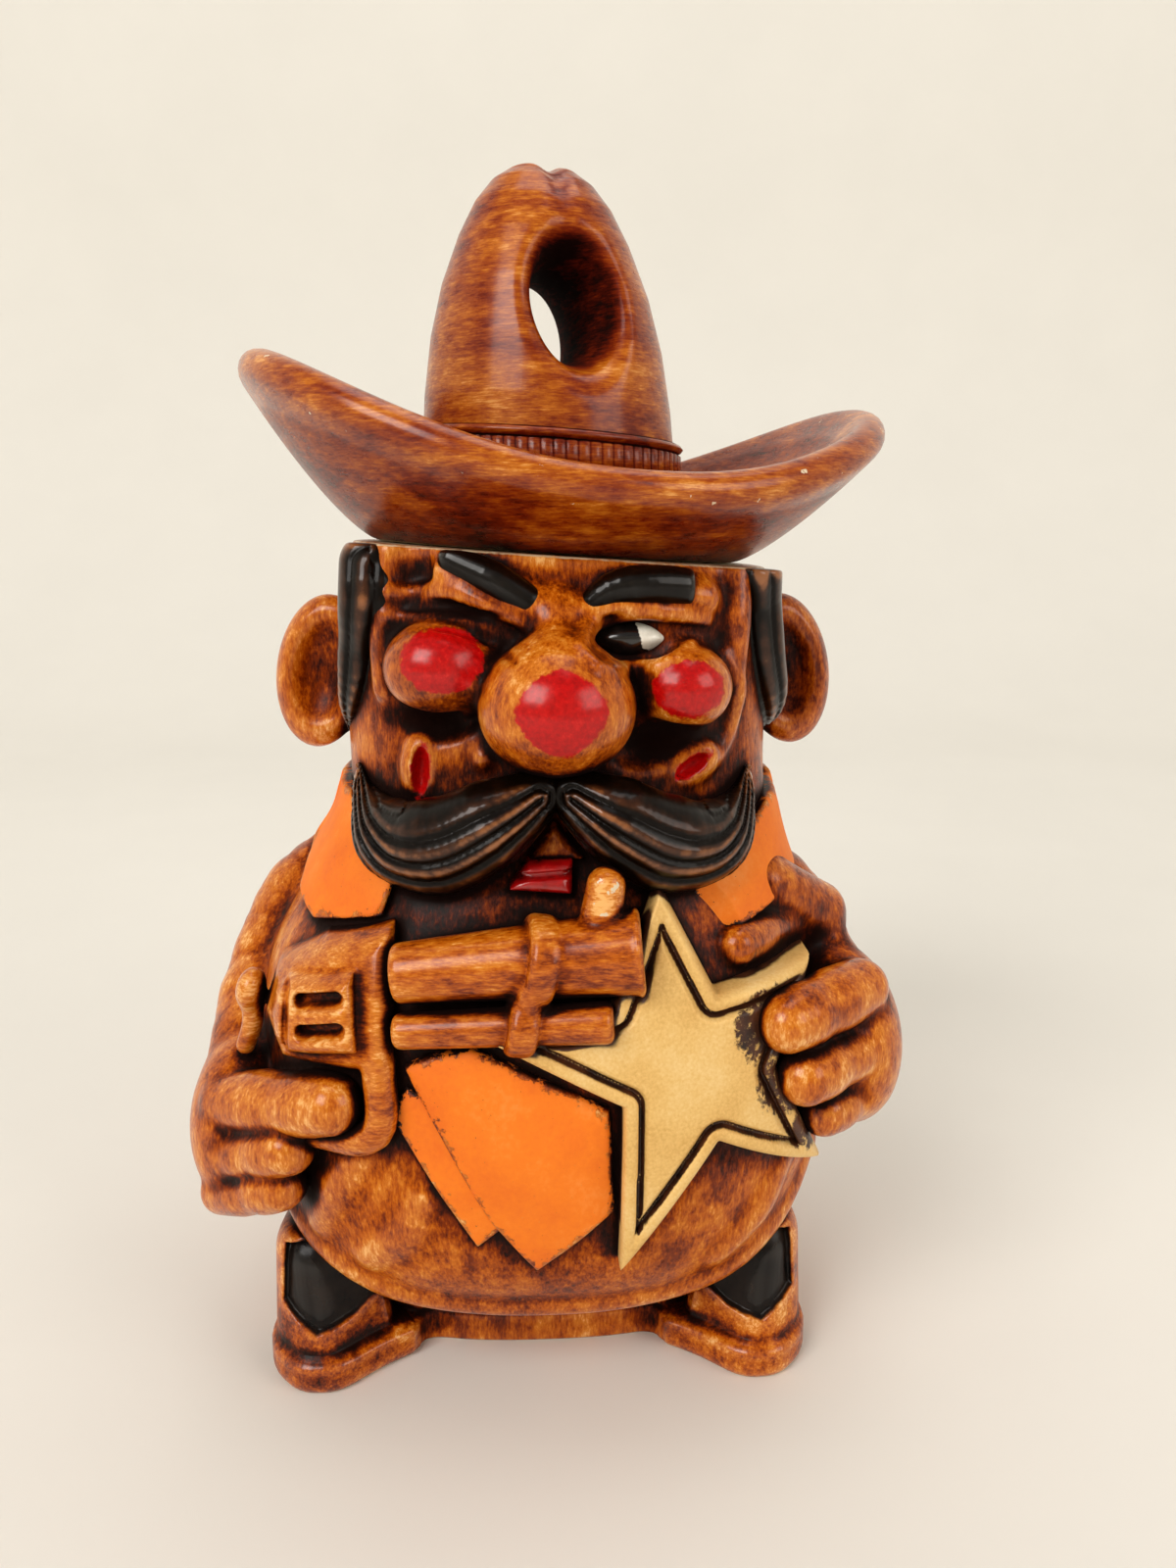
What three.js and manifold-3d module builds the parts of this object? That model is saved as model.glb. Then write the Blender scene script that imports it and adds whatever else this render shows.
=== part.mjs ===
// A figural stoneware cookie jar: a moustached lawman whose hat is the lid.
// Millimetres, +Z up, front towards -Y. The origin is on the table, under the middle of the jar.
// The vessel and the hat are hollow castings. Each relief feature is a sprig that is
// seated on its casting and kept one slip joint away from it.
// Right and left are the figure's own: its right side is towards -X.
import * as THREE from "three";
import { mergeVertices } from "three/addons/utils/BufferGeometryUtils.js";
import Module from "manifold-3d";

const wasm = await Module();
wasm.setup();
const degrees = THREE.MathUtils.degToRad;

// Vessel
const NECK_HEIGHT = 154; // the head starts here, above the table; arms and chest hang from it
const HEAD_HEIGHT = 66; // from the neck to the hat's seat, on the head's axis
const RIM_HEIGHT = NECK_HEIGHT + HEAD_HEIGHT;
const SEAT_TILT = degrees(3.7); // the seat drops towards +X
const WALL = 6.5; // cast wall
const FLOOR = 8; // floor of the vessel
const MOUTH_RADIUS = 43; // round mouth in the top of the head
const MOUTH_DEPTH = 26; // depth of the round part of the mouth
const SLIP_JOINT = 0.3; // gap between a sprig and what carries it
const SECTION_POWER = 2.6; // 2 is an oval section, more is squarer
const HEAD_SHIFT = 4; // the head's axis lies this far towards +X

// Outer sections of the vessel, from the foot up:
// height, half width, front depth, rear depth and sideways shift.
const FOOT = { z: 0, half: 61, front: 41, rear: 54, shift: -1 };
const SILL = { z: 16, half: 62, front: 42.5, rear: 56, shift: -1 };
const UNDERBELLY = { z: 26, half: 68, front: 60, rear: 61, shift: -1 };
const LOW_BELLY = { z: 44, half: 75, front: 73.5, rear: 67, shift: -1 };
const BELLY = { z: 78, half: 81, front: 79, rear: 71, shift: 0 };
const CHEST = { z: NECK_HEIGHT - 42, half: 77, front: 76, rear: 69, shift: 0 };
const SHOULDER = { z: NECK_HEIGHT - 18, half: 66, front: 69, rear: 61, shift: 2 };
const NECK = { z: NECK_HEIGHT, half: 58.5, front: 61, rear: 54, shift: HEAD_SHIFT };
const JAW = { z: NECK_HEIGHT + 18, half: 57.5, front: 58, rear: 52, shift: HEAD_SHIFT };
const TEMPLE = { z: NECK_HEIGHT + 44, half: 58.5, front: 57, rear: 52.5, shift: HEAD_SHIFT };
const BROW = { z: RIM_HEIGHT, half: 57, front: 55, rear: 53, shift: HEAD_SHIFT };
const ABOVE_RIM = { z: RIM_HEIGHT + 10, half: 56.5, front: 54.5, rear: 53, shift: HEAD_SHIFT };
const TORSO = [FOOT, SILL, UNDERBELLY, LOW_BELLY, BELLY, CHEST, SHOULDER];
const HEAD = [NECK, JAW, TEMPLE, BROW, ABOVE_RIM];
const SECTIONS = [...TORSO, ...HEAD];

// Hat
const HAT_TURN = degrees(13); // the hat is turned on its seat
const BRIM_SIDE = 88; // brim reach at the sides, from the hat's axis
const BRIM_FRONT = 75; // brim reach at front and back
const BRIM_SHIFT = 3; // the brim reaches further towards its left
const BRIM_SEAT = 49; // outer radius of the flat that rests on the rim
const BRIM_THICK = 9; // brim thickness at its lip
const BRIM_LIFT_FRONT = 12; // rise of the lip's underside at front and back
const BRIM_LIFT_SIDE = 38; // rise of the lip's underside at the sides
const BRIM_ROLL = 3; // a high value keeps the rise near the sides
const BRIM_CURVE = 1.3; // 1 is a straight flare, more curves up towards the lip
const CROWN_RADIUS = 34.5; // crown radius where it meets the brim
const CROWN_FOOT = 15; // brim top under the crown, above the seat
const CROWN_TOP = 101; // top of the crown, above the seat
const CROWN_WALL = 5; // cast wall of the crown
const CROWN_SHIFT = -2.5; // the crown's foot lies this far towards the hat's right
const CROWN_LEAN = degrees(4.8); // the crown leans back against the seat's tilt
const CROWN_PINCH = 4; // depth of the crease in the crown's top
const TUNNEL_HEIGHT = 63; // axis of the finger tunnel, above the seat
const TUNNEL_HALF_WIDTH = 14; // half width of the tunnel's mouths
const TUNNEL_STRETCH = 1.36; // tunnel height over its width
const TUNNEL_WAIST = 0.62; // width at the middle over the width at the mouths
const BAND_FOOT = 19; // lower edge of the hat band, above the seat
const BAND_HEIGHT = 9;
const BAND_THICK = 1.3;
const BAND_RIBS = 36;
const RIB_DEPTH = 0.35;
const RING_DEPTH = 11; // the locating ring's reach into the mouth
const RING_CLEARANCE = 1.6; // gap round the locating ring
const RING_WALL = 6;

// Finishes, as they show on the glazed jar
function finish(color, roughness, metalness = 0) {
  return new THREE.MeshStandardMaterial({ color, roughness, metalness });
}
const BROWN_STAIN = finish(0x7a3c12, 0.35);
const BLACK_GLAZE = finish(0x14100e, 0.2);
const RED_GLAZE = finish(0xa30d10, 0.15);
const ORANGE_PAINT = finish(0xf0701c, 0.6);
const GOLD_PAINT = finish(0xd8b25c, 0.5, 0.2);

// A closed geometry as a solid that can be joined and cut.
function solidOf(geometry) {
  const bare = new THREE.BufferGeometry();
  bare.setAttribute("position", geometry.getAttribute("position").clone());
  bare.setIndex(geometry.index);
  const merged = mergeVertices(bare, 1e-3);
  const vertProperties = merged.attributes.position.array;
  const triVerts = new Uint32Array(merged.index.array);
  const build = () => new wasm.Manifold(new wasm.Mesh({ numProp: 3, vertProperties, triVerts }));
  const made = build();
  if (made.volume() > 0) return made;
  for (let i = 0; i < triVerts.length; i += 3) {
    [triVerts[i + 1], triVerts[i + 2]] = [triVerts[i + 2], triVerts[i + 1]];
  }
  return build();
}

// The largest body of a solid, as a geometry.
function geometryOf(solid) {
  const main = solid.decompose().reduce((a, b) => (b.volume() > a.volume() ? b : a));
  const { vertProperties, triVerts } = main.getMesh();
  const geometry = new THREE.BufferGeometry();
  geometry.setAttribute("position", new THREE.BufferAttribute(new Float32Array(vertProperties), 3));
  geometry.setIndex(new THREE.BufferAttribute(new Uint32Array(triVerts), 1));
  return geometry;
}

function joined(...solids) {
  return solids.reduce((a, b) => a.add(b));
}

function cut(solid, ...tools) {
  return tools.reduce((a, b) => a.subtract(b), solid);
}

// Moves every vertex of a geometry by a formula.
function reshaped(geometry, move) {
  const position = geometry.getAttribute("position");
  const p = new THREE.Vector3();
  for (let i = 0; i < position.count; i++) {
    p.fromBufferAttribute(position, i);
    move(p);
    position.setXYZ(i, p.x, p.y, p.z);
  }
  return geometry;
}

// A profile of [radius, height] points turned about +Z.
function turned(profile, segments) {
  const points = profile.map(([r, z]) => new THREE.Vector2(r, z));
  return new THREE.LatheGeometry(points, segments).rotateX(Math.PI / 2);
}

// An ellipsoid, grown by the given gap.
function ball(at, radii, grow = 0, turn = [0, 0, 0], segments = 12) {
  const [x, y, z] = radii.map((r) => r + grow);
  const geometry = new THREE.SphereGeometry(1, segments, Math.round(segments * 0.6));
  geometry.rotateX(Math.PI / 2).scale(x, y, z);
  geometry.applyMatrix4(new THREE.Matrix4().makeRotationFromEuler(new THREE.Euler(...turn)));
  return solidOf(geometry.translate(at.x, at.y, at.z));
}

// Closed skin over rings with the same number of points each.
function lofted(rings) {
  const sides = rings[0].length;
  const points = rings.flat();
  const index = [];
  for (let i = 0; i + 1 < rings.length; i++) {
    for (let j = 0; j < sides; j++) {
      const a = i * sides + j;
      const b = i * sides + ((j + 1) % sides);
      index.push(a, b, b + sides, a, b + sides, a + sides);
    }
  }
  for (const [ring, flip] of [[0, true], [rings.length - 1, false]]) {
    const middle = new THREE.Vector3();
    rings[ring].forEach((p) => middle.addScaledVector(p, 1 / sides));
    const hub = points.push(middle) - 1;
    for (let j = 0; j < sides; j++) {
      const a = ring * sides + j;
      const b = ring * sides + ((j + 1) % sides);
      index.push(hub, flip ? b : a, flip ? a : b);
    }
  }
  return solidOf(new THREE.BufferGeometry().setFromPoints(points).setIndex(index));
}

// A round bar of changing radius along a smooth curve, with a ridge formula for its section.
const smooth = () => 1;
function roll(points, radii, grow = 0, { sides = 8, steps = 8, ridge = smooth } = {}) {
  const curve = new THREE.CatmullRomCurve3(points);
  const { normals, binormals } = curve.computeFrenetFrames(steps);
  const rings = [];
  for (let i = 0; i <= steps; i++) {
    const t = (i / steps) * (radii.length - 1);
    const k = Math.min(Math.floor(t), radii.length - 2);
    const radius = THREE.MathUtils.lerp(radii[k], radii[k + 1], t - k) + grow;
    const middle = curve.getPointAt(i / steps);
    const ring = [];
    for (let j = 0; j < sides; j++) {
      const angle = (2 * Math.PI * j) / sides;
      const reach = radius * ridge(angle);
      const p = middle.clone().addScaledVector(normals[i], reach * Math.cos(angle));
      ring.push(p.addScaledVector(binormals[i], reach * Math.sin(angle)));
    }
    rings.push(ring);
  }
  return lofted(rings);
}

// The value of a section's size at a height, on a smooth curve through the sections.
function sectionAt(z, key) {
  const last = SECTIONS.length - 1;
  const above = SECTIONS.findIndex((s) => s.z >= z);
  const i = above === -1 ? last - 1 : Math.max(above - 1, 0);
  const slope = (k) => {
    const below = SECTIONS[Math.max(k - 1, 0)];
    const next = SECTIONS[Math.min(k + 1, last)];
    return (next[key] - below[key]) / (next.z - below.z);
  };
  const [a, b] = [SECTIONS[i], SECTIONS[i + 1]];
  const span = b.z - a.z;
  const t = (z - a.z) / span;
  const [t2, t3] = [t * t, t * t * t];
  const start = a[key] * (2 * t3 - 3 * t2 + 1) + slope(i) * span * (t3 - 2 * t2 + t);
  return start + b[key] * (3 * t2 - 2 * t3) + slope(i + 1) * span * (t3 - t2);
}

// Where the vessel's outside lies in front of a point given by x and height.
const SIDE_SHARE = 0.97; // beyond this share of the half width the side counts as the front
function frontOf(x, z) {
  const share = Math.abs(x - sectionAt(z, "shift")) / sectionAt(z, "half");
  const depth = (1 - Math.min(share, SIDE_SHARE) ** SECTION_POWER) ** (1 / SECTION_POWER);
  return -sectionAt(z, "front") * depth;
}

// A point that stands proud of the vessel's front.
function on(x, z, proud = 0) {
  return new THREE.Vector3(x, frontOf(x, z) - proud, z);
}

// Points and outlines whose heights are given from the neck, so that they go with it.
function fromNeck(x, up, proud = 0) {
  return on(x, NECK_HEIGHT + up, proud);
}
function outlineFromNeck(outline) {
  return outline.map(([x, up]) => [x, NECK_HEIGHT + up]);
}

// The vessel's outside from one height to another, set in by the wall or grown by a gap.
function vesselSkin(low, high, inset, rings, segments) {
  const profile = [[0, low]];
  for (let i = 0; i <= rings; i++) profile.push([1, low + ((high - low) * i) / rings]);
  profile.push([0, high]);
  const round = (c) => Math.sign(c) * Math.abs(c) ** (2 / SECTION_POWER);
  const skin = reshaped(turned(profile, segments), (p) => {
    const radius = Math.hypot(p.x, p.y);
    const middle = sectionAt(p.z, "shift");
    if (radius === 0) {
      p.x = middle;
      return;
    }
    const depth = sectionAt(p.z, p.y < 0 ? "front" : "rear") - inset;
    p.y = round(p.y / radius) * depth;
    p.x = round(p.x / radius) * (sectionAt(p.z, "half") - inset) + middle;
  });
  return solidOf(skin);
}

// The place and tilt of the hat's seat, and the space above it.
const seatMatrix = new THREE.Matrix4().makeRotationY(SEAT_TILT).setPosition(HEAD_SHIFT, 0, RIM_HEIGHT);
function aboveSeat(gap) {
  const span = 400;
  const block = new THREE.BoxGeometry(span, span, span).translate(0, 0, span / 2 - gap);
  return solidOf(block.applyMatrix4(seatMatrix));
}

// The hollow vessel: torso and head in one casting, open at the mouth.
const OUTER_RINGS = 21;
const INNER_RINGS = 10;
const OUTER_SEGMENTS = 36;
const INNER_SEGMENTS = 24;
function vesselOutside(gap) {
  return vesselSkin(FOOT.z - gap, ABOVE_RIM.z, -gap, OUTER_RINGS, OUTER_SEGMENTS);
}
function jarBody() {
  const cavity = vesselSkin(FLOOR, RIM_HEIGHT - MOUTH_DEPTH, WALL, INNER_RINGS, INNER_SEGMENTS);
  const bore = new THREE.CylinderGeometry(MOUTH_RADIUS, MOUTH_RADIUS, 2 * MOUTH_DEPTH + 4, 36);
  bore.rotateX(Math.PI / 2).applyMatrix4(seatMatrix);
  return cut(vesselOutside(0), aboveSeat(0), cavity, solidOf(bore));
}

// A sprig seated on the vessel, clear of the seat's plane and of its neighbours.
const vesselAndJoint = vesselOutside(SLIP_JOINT);
const clearOfHat = aboveSeat(SLIP_JOINT);
function seated(solid, ...neighbours) {
  return cut(solid, vesselAndJoint, clearOfHat, ...neighbours);
}

// A prism with the given outline in x and height, from the vessel's middle to the front.
function prism(outline, grow = 0) {
  const shape = new THREE.Shape(outline.map(([x, z]) => new THREE.Vector2(x, z)));
  const bevel = { bevelSize: 0, bevelThickness: 0.1, bevelOffset: grow, bevelSegments: 1 };
  return solidOf(new THREE.ExtrudeGeometry(shape, { depth: 160, ...bevel }).rotateX(Math.PI / 2));
}

// A sheet with the given outline that follows the vessel's front.
function laid(outline, thick, grow = 0) {
  return prism(outline, grow).intersect(vesselOutside(thick + grow));
}

// A recess with the given outline, sunk to a height above the vessel's front.
function sunk(outline, floor, grow = 0) {
  return cut(prism(outline, grow), vesselOutside(floor));
}

// Face: heights are given from the neck
const NOSE = { x: 2.5, up: 30.5, proud: 6, radii: [19, 20, 17.5] };
const CHEEK_RADII = [14.5, 13, 13];
const CHEEK_PROUD = 1;
const RIGHT_CHEEK = { x: -25, up: 40 };
const LEFT_CHEEK = { x: 33, up: 35 };
const EAR_RADII = [14, 9, 22];
const DISH_RADII = [10, 9, 16.5];
const DISH_FORWARD = 7.5; // the dish's middle lies this far in front of the ear's
const EAR_REACH = 8.5; // ear's middle, outside the head's side
const EAR_UP = 32.5;
const EAR_BACK = 4;
const EYE = { x: 20, up: 46.5, radii: [11, 4.5, 6.5] };
const LID_RADIUS = 3; // half thickness of the closed lid
const LID_LINE = [[-35, 55.5, 0], [-24, 54.5, 0.5], [-14, 50, 1], [-7, 44, 0.5]]; // x, height, how proud
const BROW_RADIUS = 5.4;
const BROW_TIP = 2.6; // radius at the nose end
const RIGHT_BROW = [[-22, 66, 0.5], [-12, 62, 1], [-3, 56.5, 0.5]];
const LEFT_BROW = [[11, 56.5, 0.5], [22, 60, 1], [35.5, 59.5, 0.5]];
const HAIR_THICK = 2; // the sideburns stand this proud
const RIGHT_SIDEBURN = [[-56, 69], [-45, 69], [-46.5, 49], [-50.5, 32], [-54, 18], [-57, 34]];
const LEFT_SIDEBURN = [[52, 66], [62, 66], [66, 36], [63, 17], [58, 32], [54, 48]];

function nose(grow = 0) {
  return ball(fromNeck(NOSE.x, NOSE.up, NOSE.proud), NOSE.radii, grow, [0, 0, 0], 18);
}
function cheek({ x, up }, grow = 0) {
  return ball(fromNeck(x, up, CHEEK_PROUD), CHEEK_RADII, grow);
}
const earLean = (side) => [0, side * -0.18, side * 0.35];
function earMiddle(side, back) {
  const height = NECK_HEIGHT + EAR_UP;
  const half = sectionAt(height, "half");
  return new THREE.Vector3(HEAD_SHIFT + side * (half + EAR_REACH), back, height);
}
function earBlank(side, grow = 0) {
  return ball(earMiddle(side, EAR_BACK), EAR_RADII, grow, earLean(side));
}
function ear(side) {
  const dish = ball(earMiddle(side, EAR_BACK - DISH_FORWARD), DISH_RADII, 0, earLean(side));
  return cut(earBlank(side), dish);
}
function openEye(grow = 0) {
  return ball(fromNeck(EYE.x, EYE.up), EYE.radii, grow);
}
function closedLid(grow = 0) {
  const line = LID_LINE.map((p) => fromNeck(...p));
  return roll(line, [1, LID_RADIUS, LID_RADIUS, 1], grow, { sides: 8, steps: 6 });
}
function rightBrow(grow = 0) {
  const line = RIGHT_BROW.map((p) => fromNeck(...p));
  return roll(line, [BROW_RADIUS, BROW_RADIUS, BROW_RADIUS, BROW_TIP], grow, { steps: 5 });
}
function leftBrow(grow = 0) {
  const line = LEFT_BROW.map((p) => fromNeck(...p));
  return roll(line, [BROW_TIP, BROW_RADIUS, BROW_RADIUS, BROW_RADIUS], grow, { steps: 5 });
}

// Moustache: two combed lobes that sweep down from under the nose and curl up at the jaw.
const MOUSTACHE_MIDDLE = 2;
const MOUSTACHE_INNER = [[4, 12, 9], [14, 6, 10], [27, -1, 7]]; // reach, height, how proud
const MOUSTACHE_OUTER = [[40, 0, 4], [49, 10, 2], [51.5, 16, 1]];
const MOUSTACHE_RADII = [6, 10.5, 12, 10, 5, 1];
const COMB_GROOVES = 8;
const COMB_DEPTH = 0.06; // as a share of the radius
const combed = (angle) => 1 - COMB_DEPTH * (1 + Math.cos(COMB_GROOVES * angle));
function moustache(side, grow = 0) {
  const reaches = [...MOUSTACHE_INNER, ...MOUSTACHE_OUTER];
  const line = reaches.map(([x, up, proud]) => fromNeck(MOUSTACHE_MIDDLE + side * x, up, proud));
  return roll(line, MOUSTACHE_RADII, grow, { sides: 16, steps: 12, ridge: combed });
}
const LIP = { x: -1.5, up: -7.5, proud: 2.5, radii: [12, 7, 5.5] };
function lowerLip(grow = 0) {
  return ball(fromNeck(LIP.x, LIP.up, LIP.proud), LIP.radii, grow, [0, 0, 0], 12);
}

// Neckerchief: a collar at each side of the jaw, and two overlapping points on the belly
const CLOTH_THICK = 3; // moulded cloth, proud of the body
const CLOTH_UNDER_THICK = 2.1;
const RIGHT_COLLAR = outlineFromNeck([[-58, 12], [-47, 12], [-37, -11], [-40, -19], [-59, -24], [-64, -6]]);
const LEFT_COLLAR = outlineFromNeck([[52, 1], [62, 8], [66, -7], [64, -15], [38.5, -26], [34, -15.5]]);
const POINT_TOP = [[-33.5, -49], [-24, -44], [13, -59]];
const POINT_FOOT = [[15, -88], [-3.5, -104.5], [-14.5, -89]];
const POINT_OVER = outlineFromNeck([...POINT_TOP, ...POINT_FOOT]);
const POINT_UNDER = outlineFromNeck([[-37.5, -64], [-34, -59], [-14, -92], [-18, -97.5]]);
function pointOver(grow = 0) {
  return laid(POINT_OVER, CLOTH_THICK, grow);
}

// Star badge: a plate with a raised border round a bare field, given from its middle
const STAR_MIDDLE = [32, NECK_HEIGHT - 50];
const STAR_TIPS = [[-5.5, 38.5], [-40, 7.5], [-14, -49], [35, -28.5], [30.5, 25.5]];
const STAR_NOTCHES = [[-19.5, 15.5], [-15, -8], [6.5, -17], [22, -1], [6, 20]];
const STAR_THICK = 8;
const STAR_BORDER = 4.2; // width of the raised border
const STAR_FIELD_DEPTH = 2; // the field lies this far below the border
const starOutline = STAR_TIPS.flatMap((tip, i) =>
  [tip, STAR_NOTCHES[i]].map(([x, z]) => [STAR_MIDDLE[0] + x, STAR_MIDDLE[1] + z]),
);
function star(grow = 0) {
  return laid(starOutline, STAR_THICK, grow);
}
function starBadge() {
  return cut(star(), sunk(starOutline, STAR_THICK - STAR_FIELD_DEPTH, -STAR_BORDER));
}

// Revolver, laid across the belly and pointing towards +X
const BARREL_LINE = [fromNeck(-36, -27.5, 7), fromNeck(19, -18.5, 10)];
const BARREL_RADII = [8, 10.5];
const EJECTOR_LINE = [fromNeck(-36, -41, 6), fromNeck(14.5, -35, 9)];
const EJECTOR_RADII = [5, 6];
const GUN_BAND_X = -4;
const GUN_BAND_WIDTH = 7;
const GUN_BAND_THICK = 2;
const FRAME_UPPER = [[-66, -27], [-58.5, -22], [-35.5, -17]];
const FRAME_LOWER = [[-36.5, -49], [-51, -49.5], [-67, -42]];
const FRAME_OUTLINE = outlineFromNeck([...FRAME_UPPER, ...FRAME_LOWER]);
const DRUM_UPPER = [[-65.5, -36], [-63, -29.5], [-42.5, -25]];
const DRUM_LOWER = [[-43.5, -43.5], [-59.5, -46.5], [-64, -43]];
const DRUM_OUTLINE = outlineFromNeck([...DRUM_UPPER, ...DRUM_LOWER]);
const FRAME_THICK = 7;
const DRUM_THICK = 11;
const SLOT = { x: -52, length: 13, width: 2.8, depth: 2.5, rise: 1.2 };
const SLOT_HEIGHTS = [NECK_HEIGHT - 40.5, NECK_HEIGHT - 33.5];
const SIGHT_RADII = [5.2, 5, 13];
const SIGHT_PLACE = [-9, 1, 6]; // from the muzzle
const GUARD_LINE = [[-40, -50.5, 3.5], [-39.5, -64, 4], [-43.5, -70.5, 4], [-57, -73, 3]];
const GUARD_RADII = [4, 4, 4, 3.5];
const HAMMER = { x: -71, up: -36, proud: 4, radii: [4.5, 6, 8] };

// A straight round bar between two points
function bar([from, to], [r0, r1], grow = 0) {
  const along = to.clone().sub(from).setLength(grow);
  const ends = [from.clone().sub(along), to.clone().add(along)];
  return roll(ends, [r0, r1], grow, { sides: 14, steps: 2 });
}
function barrel(grow = 0) {
  return bar(BARREL_LINE, BARREL_RADII, grow);
}
function ejector(grow = 0) {
  return bar(EJECTOR_LINE, EJECTOR_RADII, grow);
}
function gunBand(grow = 0) {
  const share = (GUN_BAND_X - BARREL_LINE[0].x) / (BARREL_LINE[1].x - BARREL_LINE[0].x);
  const half = GUN_BAND_WIDTH / 2 + grow;
  const proud = GUN_BAND_THICK + grow;
  const hoop = (line, radii) => {
    const at = line[0].clone().lerp(line[1], share);
    const r = THREE.MathUtils.lerp(...radii, share) + proud;
    const ends = [-half, half].map((d) => at.clone().setX(GUN_BAND_X + d));
    return { at, r, solid: bar(ends, [r, r]) };
  };
  const top = hoop(BARREL_LINE, BARREL_RADII);
  const bottom = hoop(EJECTOR_LINE, EJECTOR_RADII);
  const web = new THREE.BoxGeometry(2 * half, 2 * bottom.r, top.at.z - bottom.at.z);
  web.translate(GUN_BAND_X, bottom.at.y, (top.at.z + bottom.at.z) / 2);
  return joined(top.solid, bottom.solid, solidOf(web));
}
function revolverFrame(grow = 0) {
  return laid(FRAME_OUTLINE, FRAME_THICK, grow);
}
function drum(grow = 0) {
  return laid(DRUM_OUTLINE, DRUM_THICK, grow);
}
function drumSlots() {
  const [dx, dz] = [SLOT.length / 2, SLOT.width / 2];
  const slots = SLOT_HEIGHTS.map((z) => {
    const low = [[SLOT.x - dx, z - dz], [SLOT.x + dx, z - dz + SLOT.rise]];
    const high = [[SLOT.x + dx, z + dz + SLOT.rise], [SLOT.x - dx, z + dz]];
    return sunk([...low, ...high], DRUM_THICK - SLOT.depth);
  });
  return joined(...slots);
}
function frontSight(grow = 0) {
  const foot = BARREL_LINE[1].clone().add(new THREE.Vector3(...SIGHT_PLACE));
  return ball(foot, SIGHT_RADII, grow, [0, 0.1, 0], 12);
}
function triggerGuard(grow = 0) {
  const line = GUARD_LINE.map((p) => fromNeck(...p));
  return roll(line, GUARD_RADII, grow, { sides: 8, steps: 7 });
}
function hammer(grow = 0) {
  return ball(fromNeck(HAMMER.x, HAMMER.up, HAMMER.proud), HAMMER.radii, grow, [0, 0.3, 0], 10);
}

// Sleeves and hands: reach beyond the chest's half width, y, and height from the neck.
// A sleeve runs from the shoulder to the cuff.
const SLEEVE_RADII = [9, 15, 17, 14];
const RIGHT_ARM = [[-25, 12, -18], [-8, 4, -35], [-1, -10, -57], [2, -34, -74]];
const LEFT_ARM = [[-23, 12, -19], [-8, 4, -37], [-1, -12, -54], [2, -36, -63]];
const HAND_RADII = [16, 20, 25];
const RIGHT_HAND = [3.5, -37, -84];
const LEFT_HAND = [1.5, -42, -61];
function point(x, y, z) {
  return new THREE.Vector3(x, y, z);
}
function arm(side, [reach, y, up]) {
  return point(side * (CHEST.half + reach), y, NECK_HEIGHT + up);
}
function rightSleeve(grow = 0) {
  return roll(RIGHT_ARM.map((p) => arm(-1, p)), SLEEVE_RADII, grow, { sides: 12, steps: 8 });
}
function leftSleeve(grow = 0) {
  return roll(LEFT_ARM.map((p) => arm(1, p)), SLEEVE_RADII, grow, { sides: 12, steps: 8 });
}
function rightHand(grow = 0) {
  return ball(arm(-1, RIGHT_HAND), HAND_RADII, grow, [0.1, 0.05, 0], 14);
}
function leftHand(grow = 0) {
  return ball(arm(1, LEFT_HAND), HAND_RADII, grow, [0, -0.15, 0], 14);
}

// Fingers, each from knuckle to tip: reach or x, height from the neck and how proud its axis stands.
// A knuckle's reach is beyond the chest's half width, as the hand's is.
const GUN_FINGERS = [
  { side: -1, knuckle: [8.5, -69.5, 18], tip: [-44, -57, 8], radius: 7.6 },
  { side: -1, knuckle: [11.5, -85.5, 17], tip: [-56, -72, 9], radius: 6.8 },
  { side: -1, knuckle: [12.5, -99, 17], tip: [-61.5, -85.5, 10], radius: 6.4 },
];
const STAR_FINGERS = [
  { side: 1, knuckle: [5.5, -42, 25], tip: [50, -44, 13], radius: 7.4 },
  { side: 1, knuckle: [11, -58.5, 20], tip: [56, -58, 14], radius: 7 },
  { side: 1, knuckle: [12.5, -72.5, 16], tip: [63, -71, 12], radius: 6.4 },
];
const THUMB = { side: 1, knuckle: [-11, -26, 14], tip: [42, -26, 7], radius: 6.2 };
const FINGER_SHAPE = [0.55, 1, 1.04, 1, 0.9, 0.45]; // thickness from knuckle to tip
const FINGER_STEPS = [0, 0.1, 0.4, 0.7, 0.92, 1];
function finger({ side, knuckle, tip, radius }, grow = 0) {
  const [reach, ...place] = knuckle;
  const [from, to] = [fromNeck(side * (CHEST.half + reach), ...place), fromNeck(...tip)];
  const points = FINGER_STEPS.map((t) => from.clone().lerp(to, t));
  const radii = FINGER_SHAPE.map((s) => s * radius);
  return roll(points, radii, grow, { sides: 10, steps: 7 });
}

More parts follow.
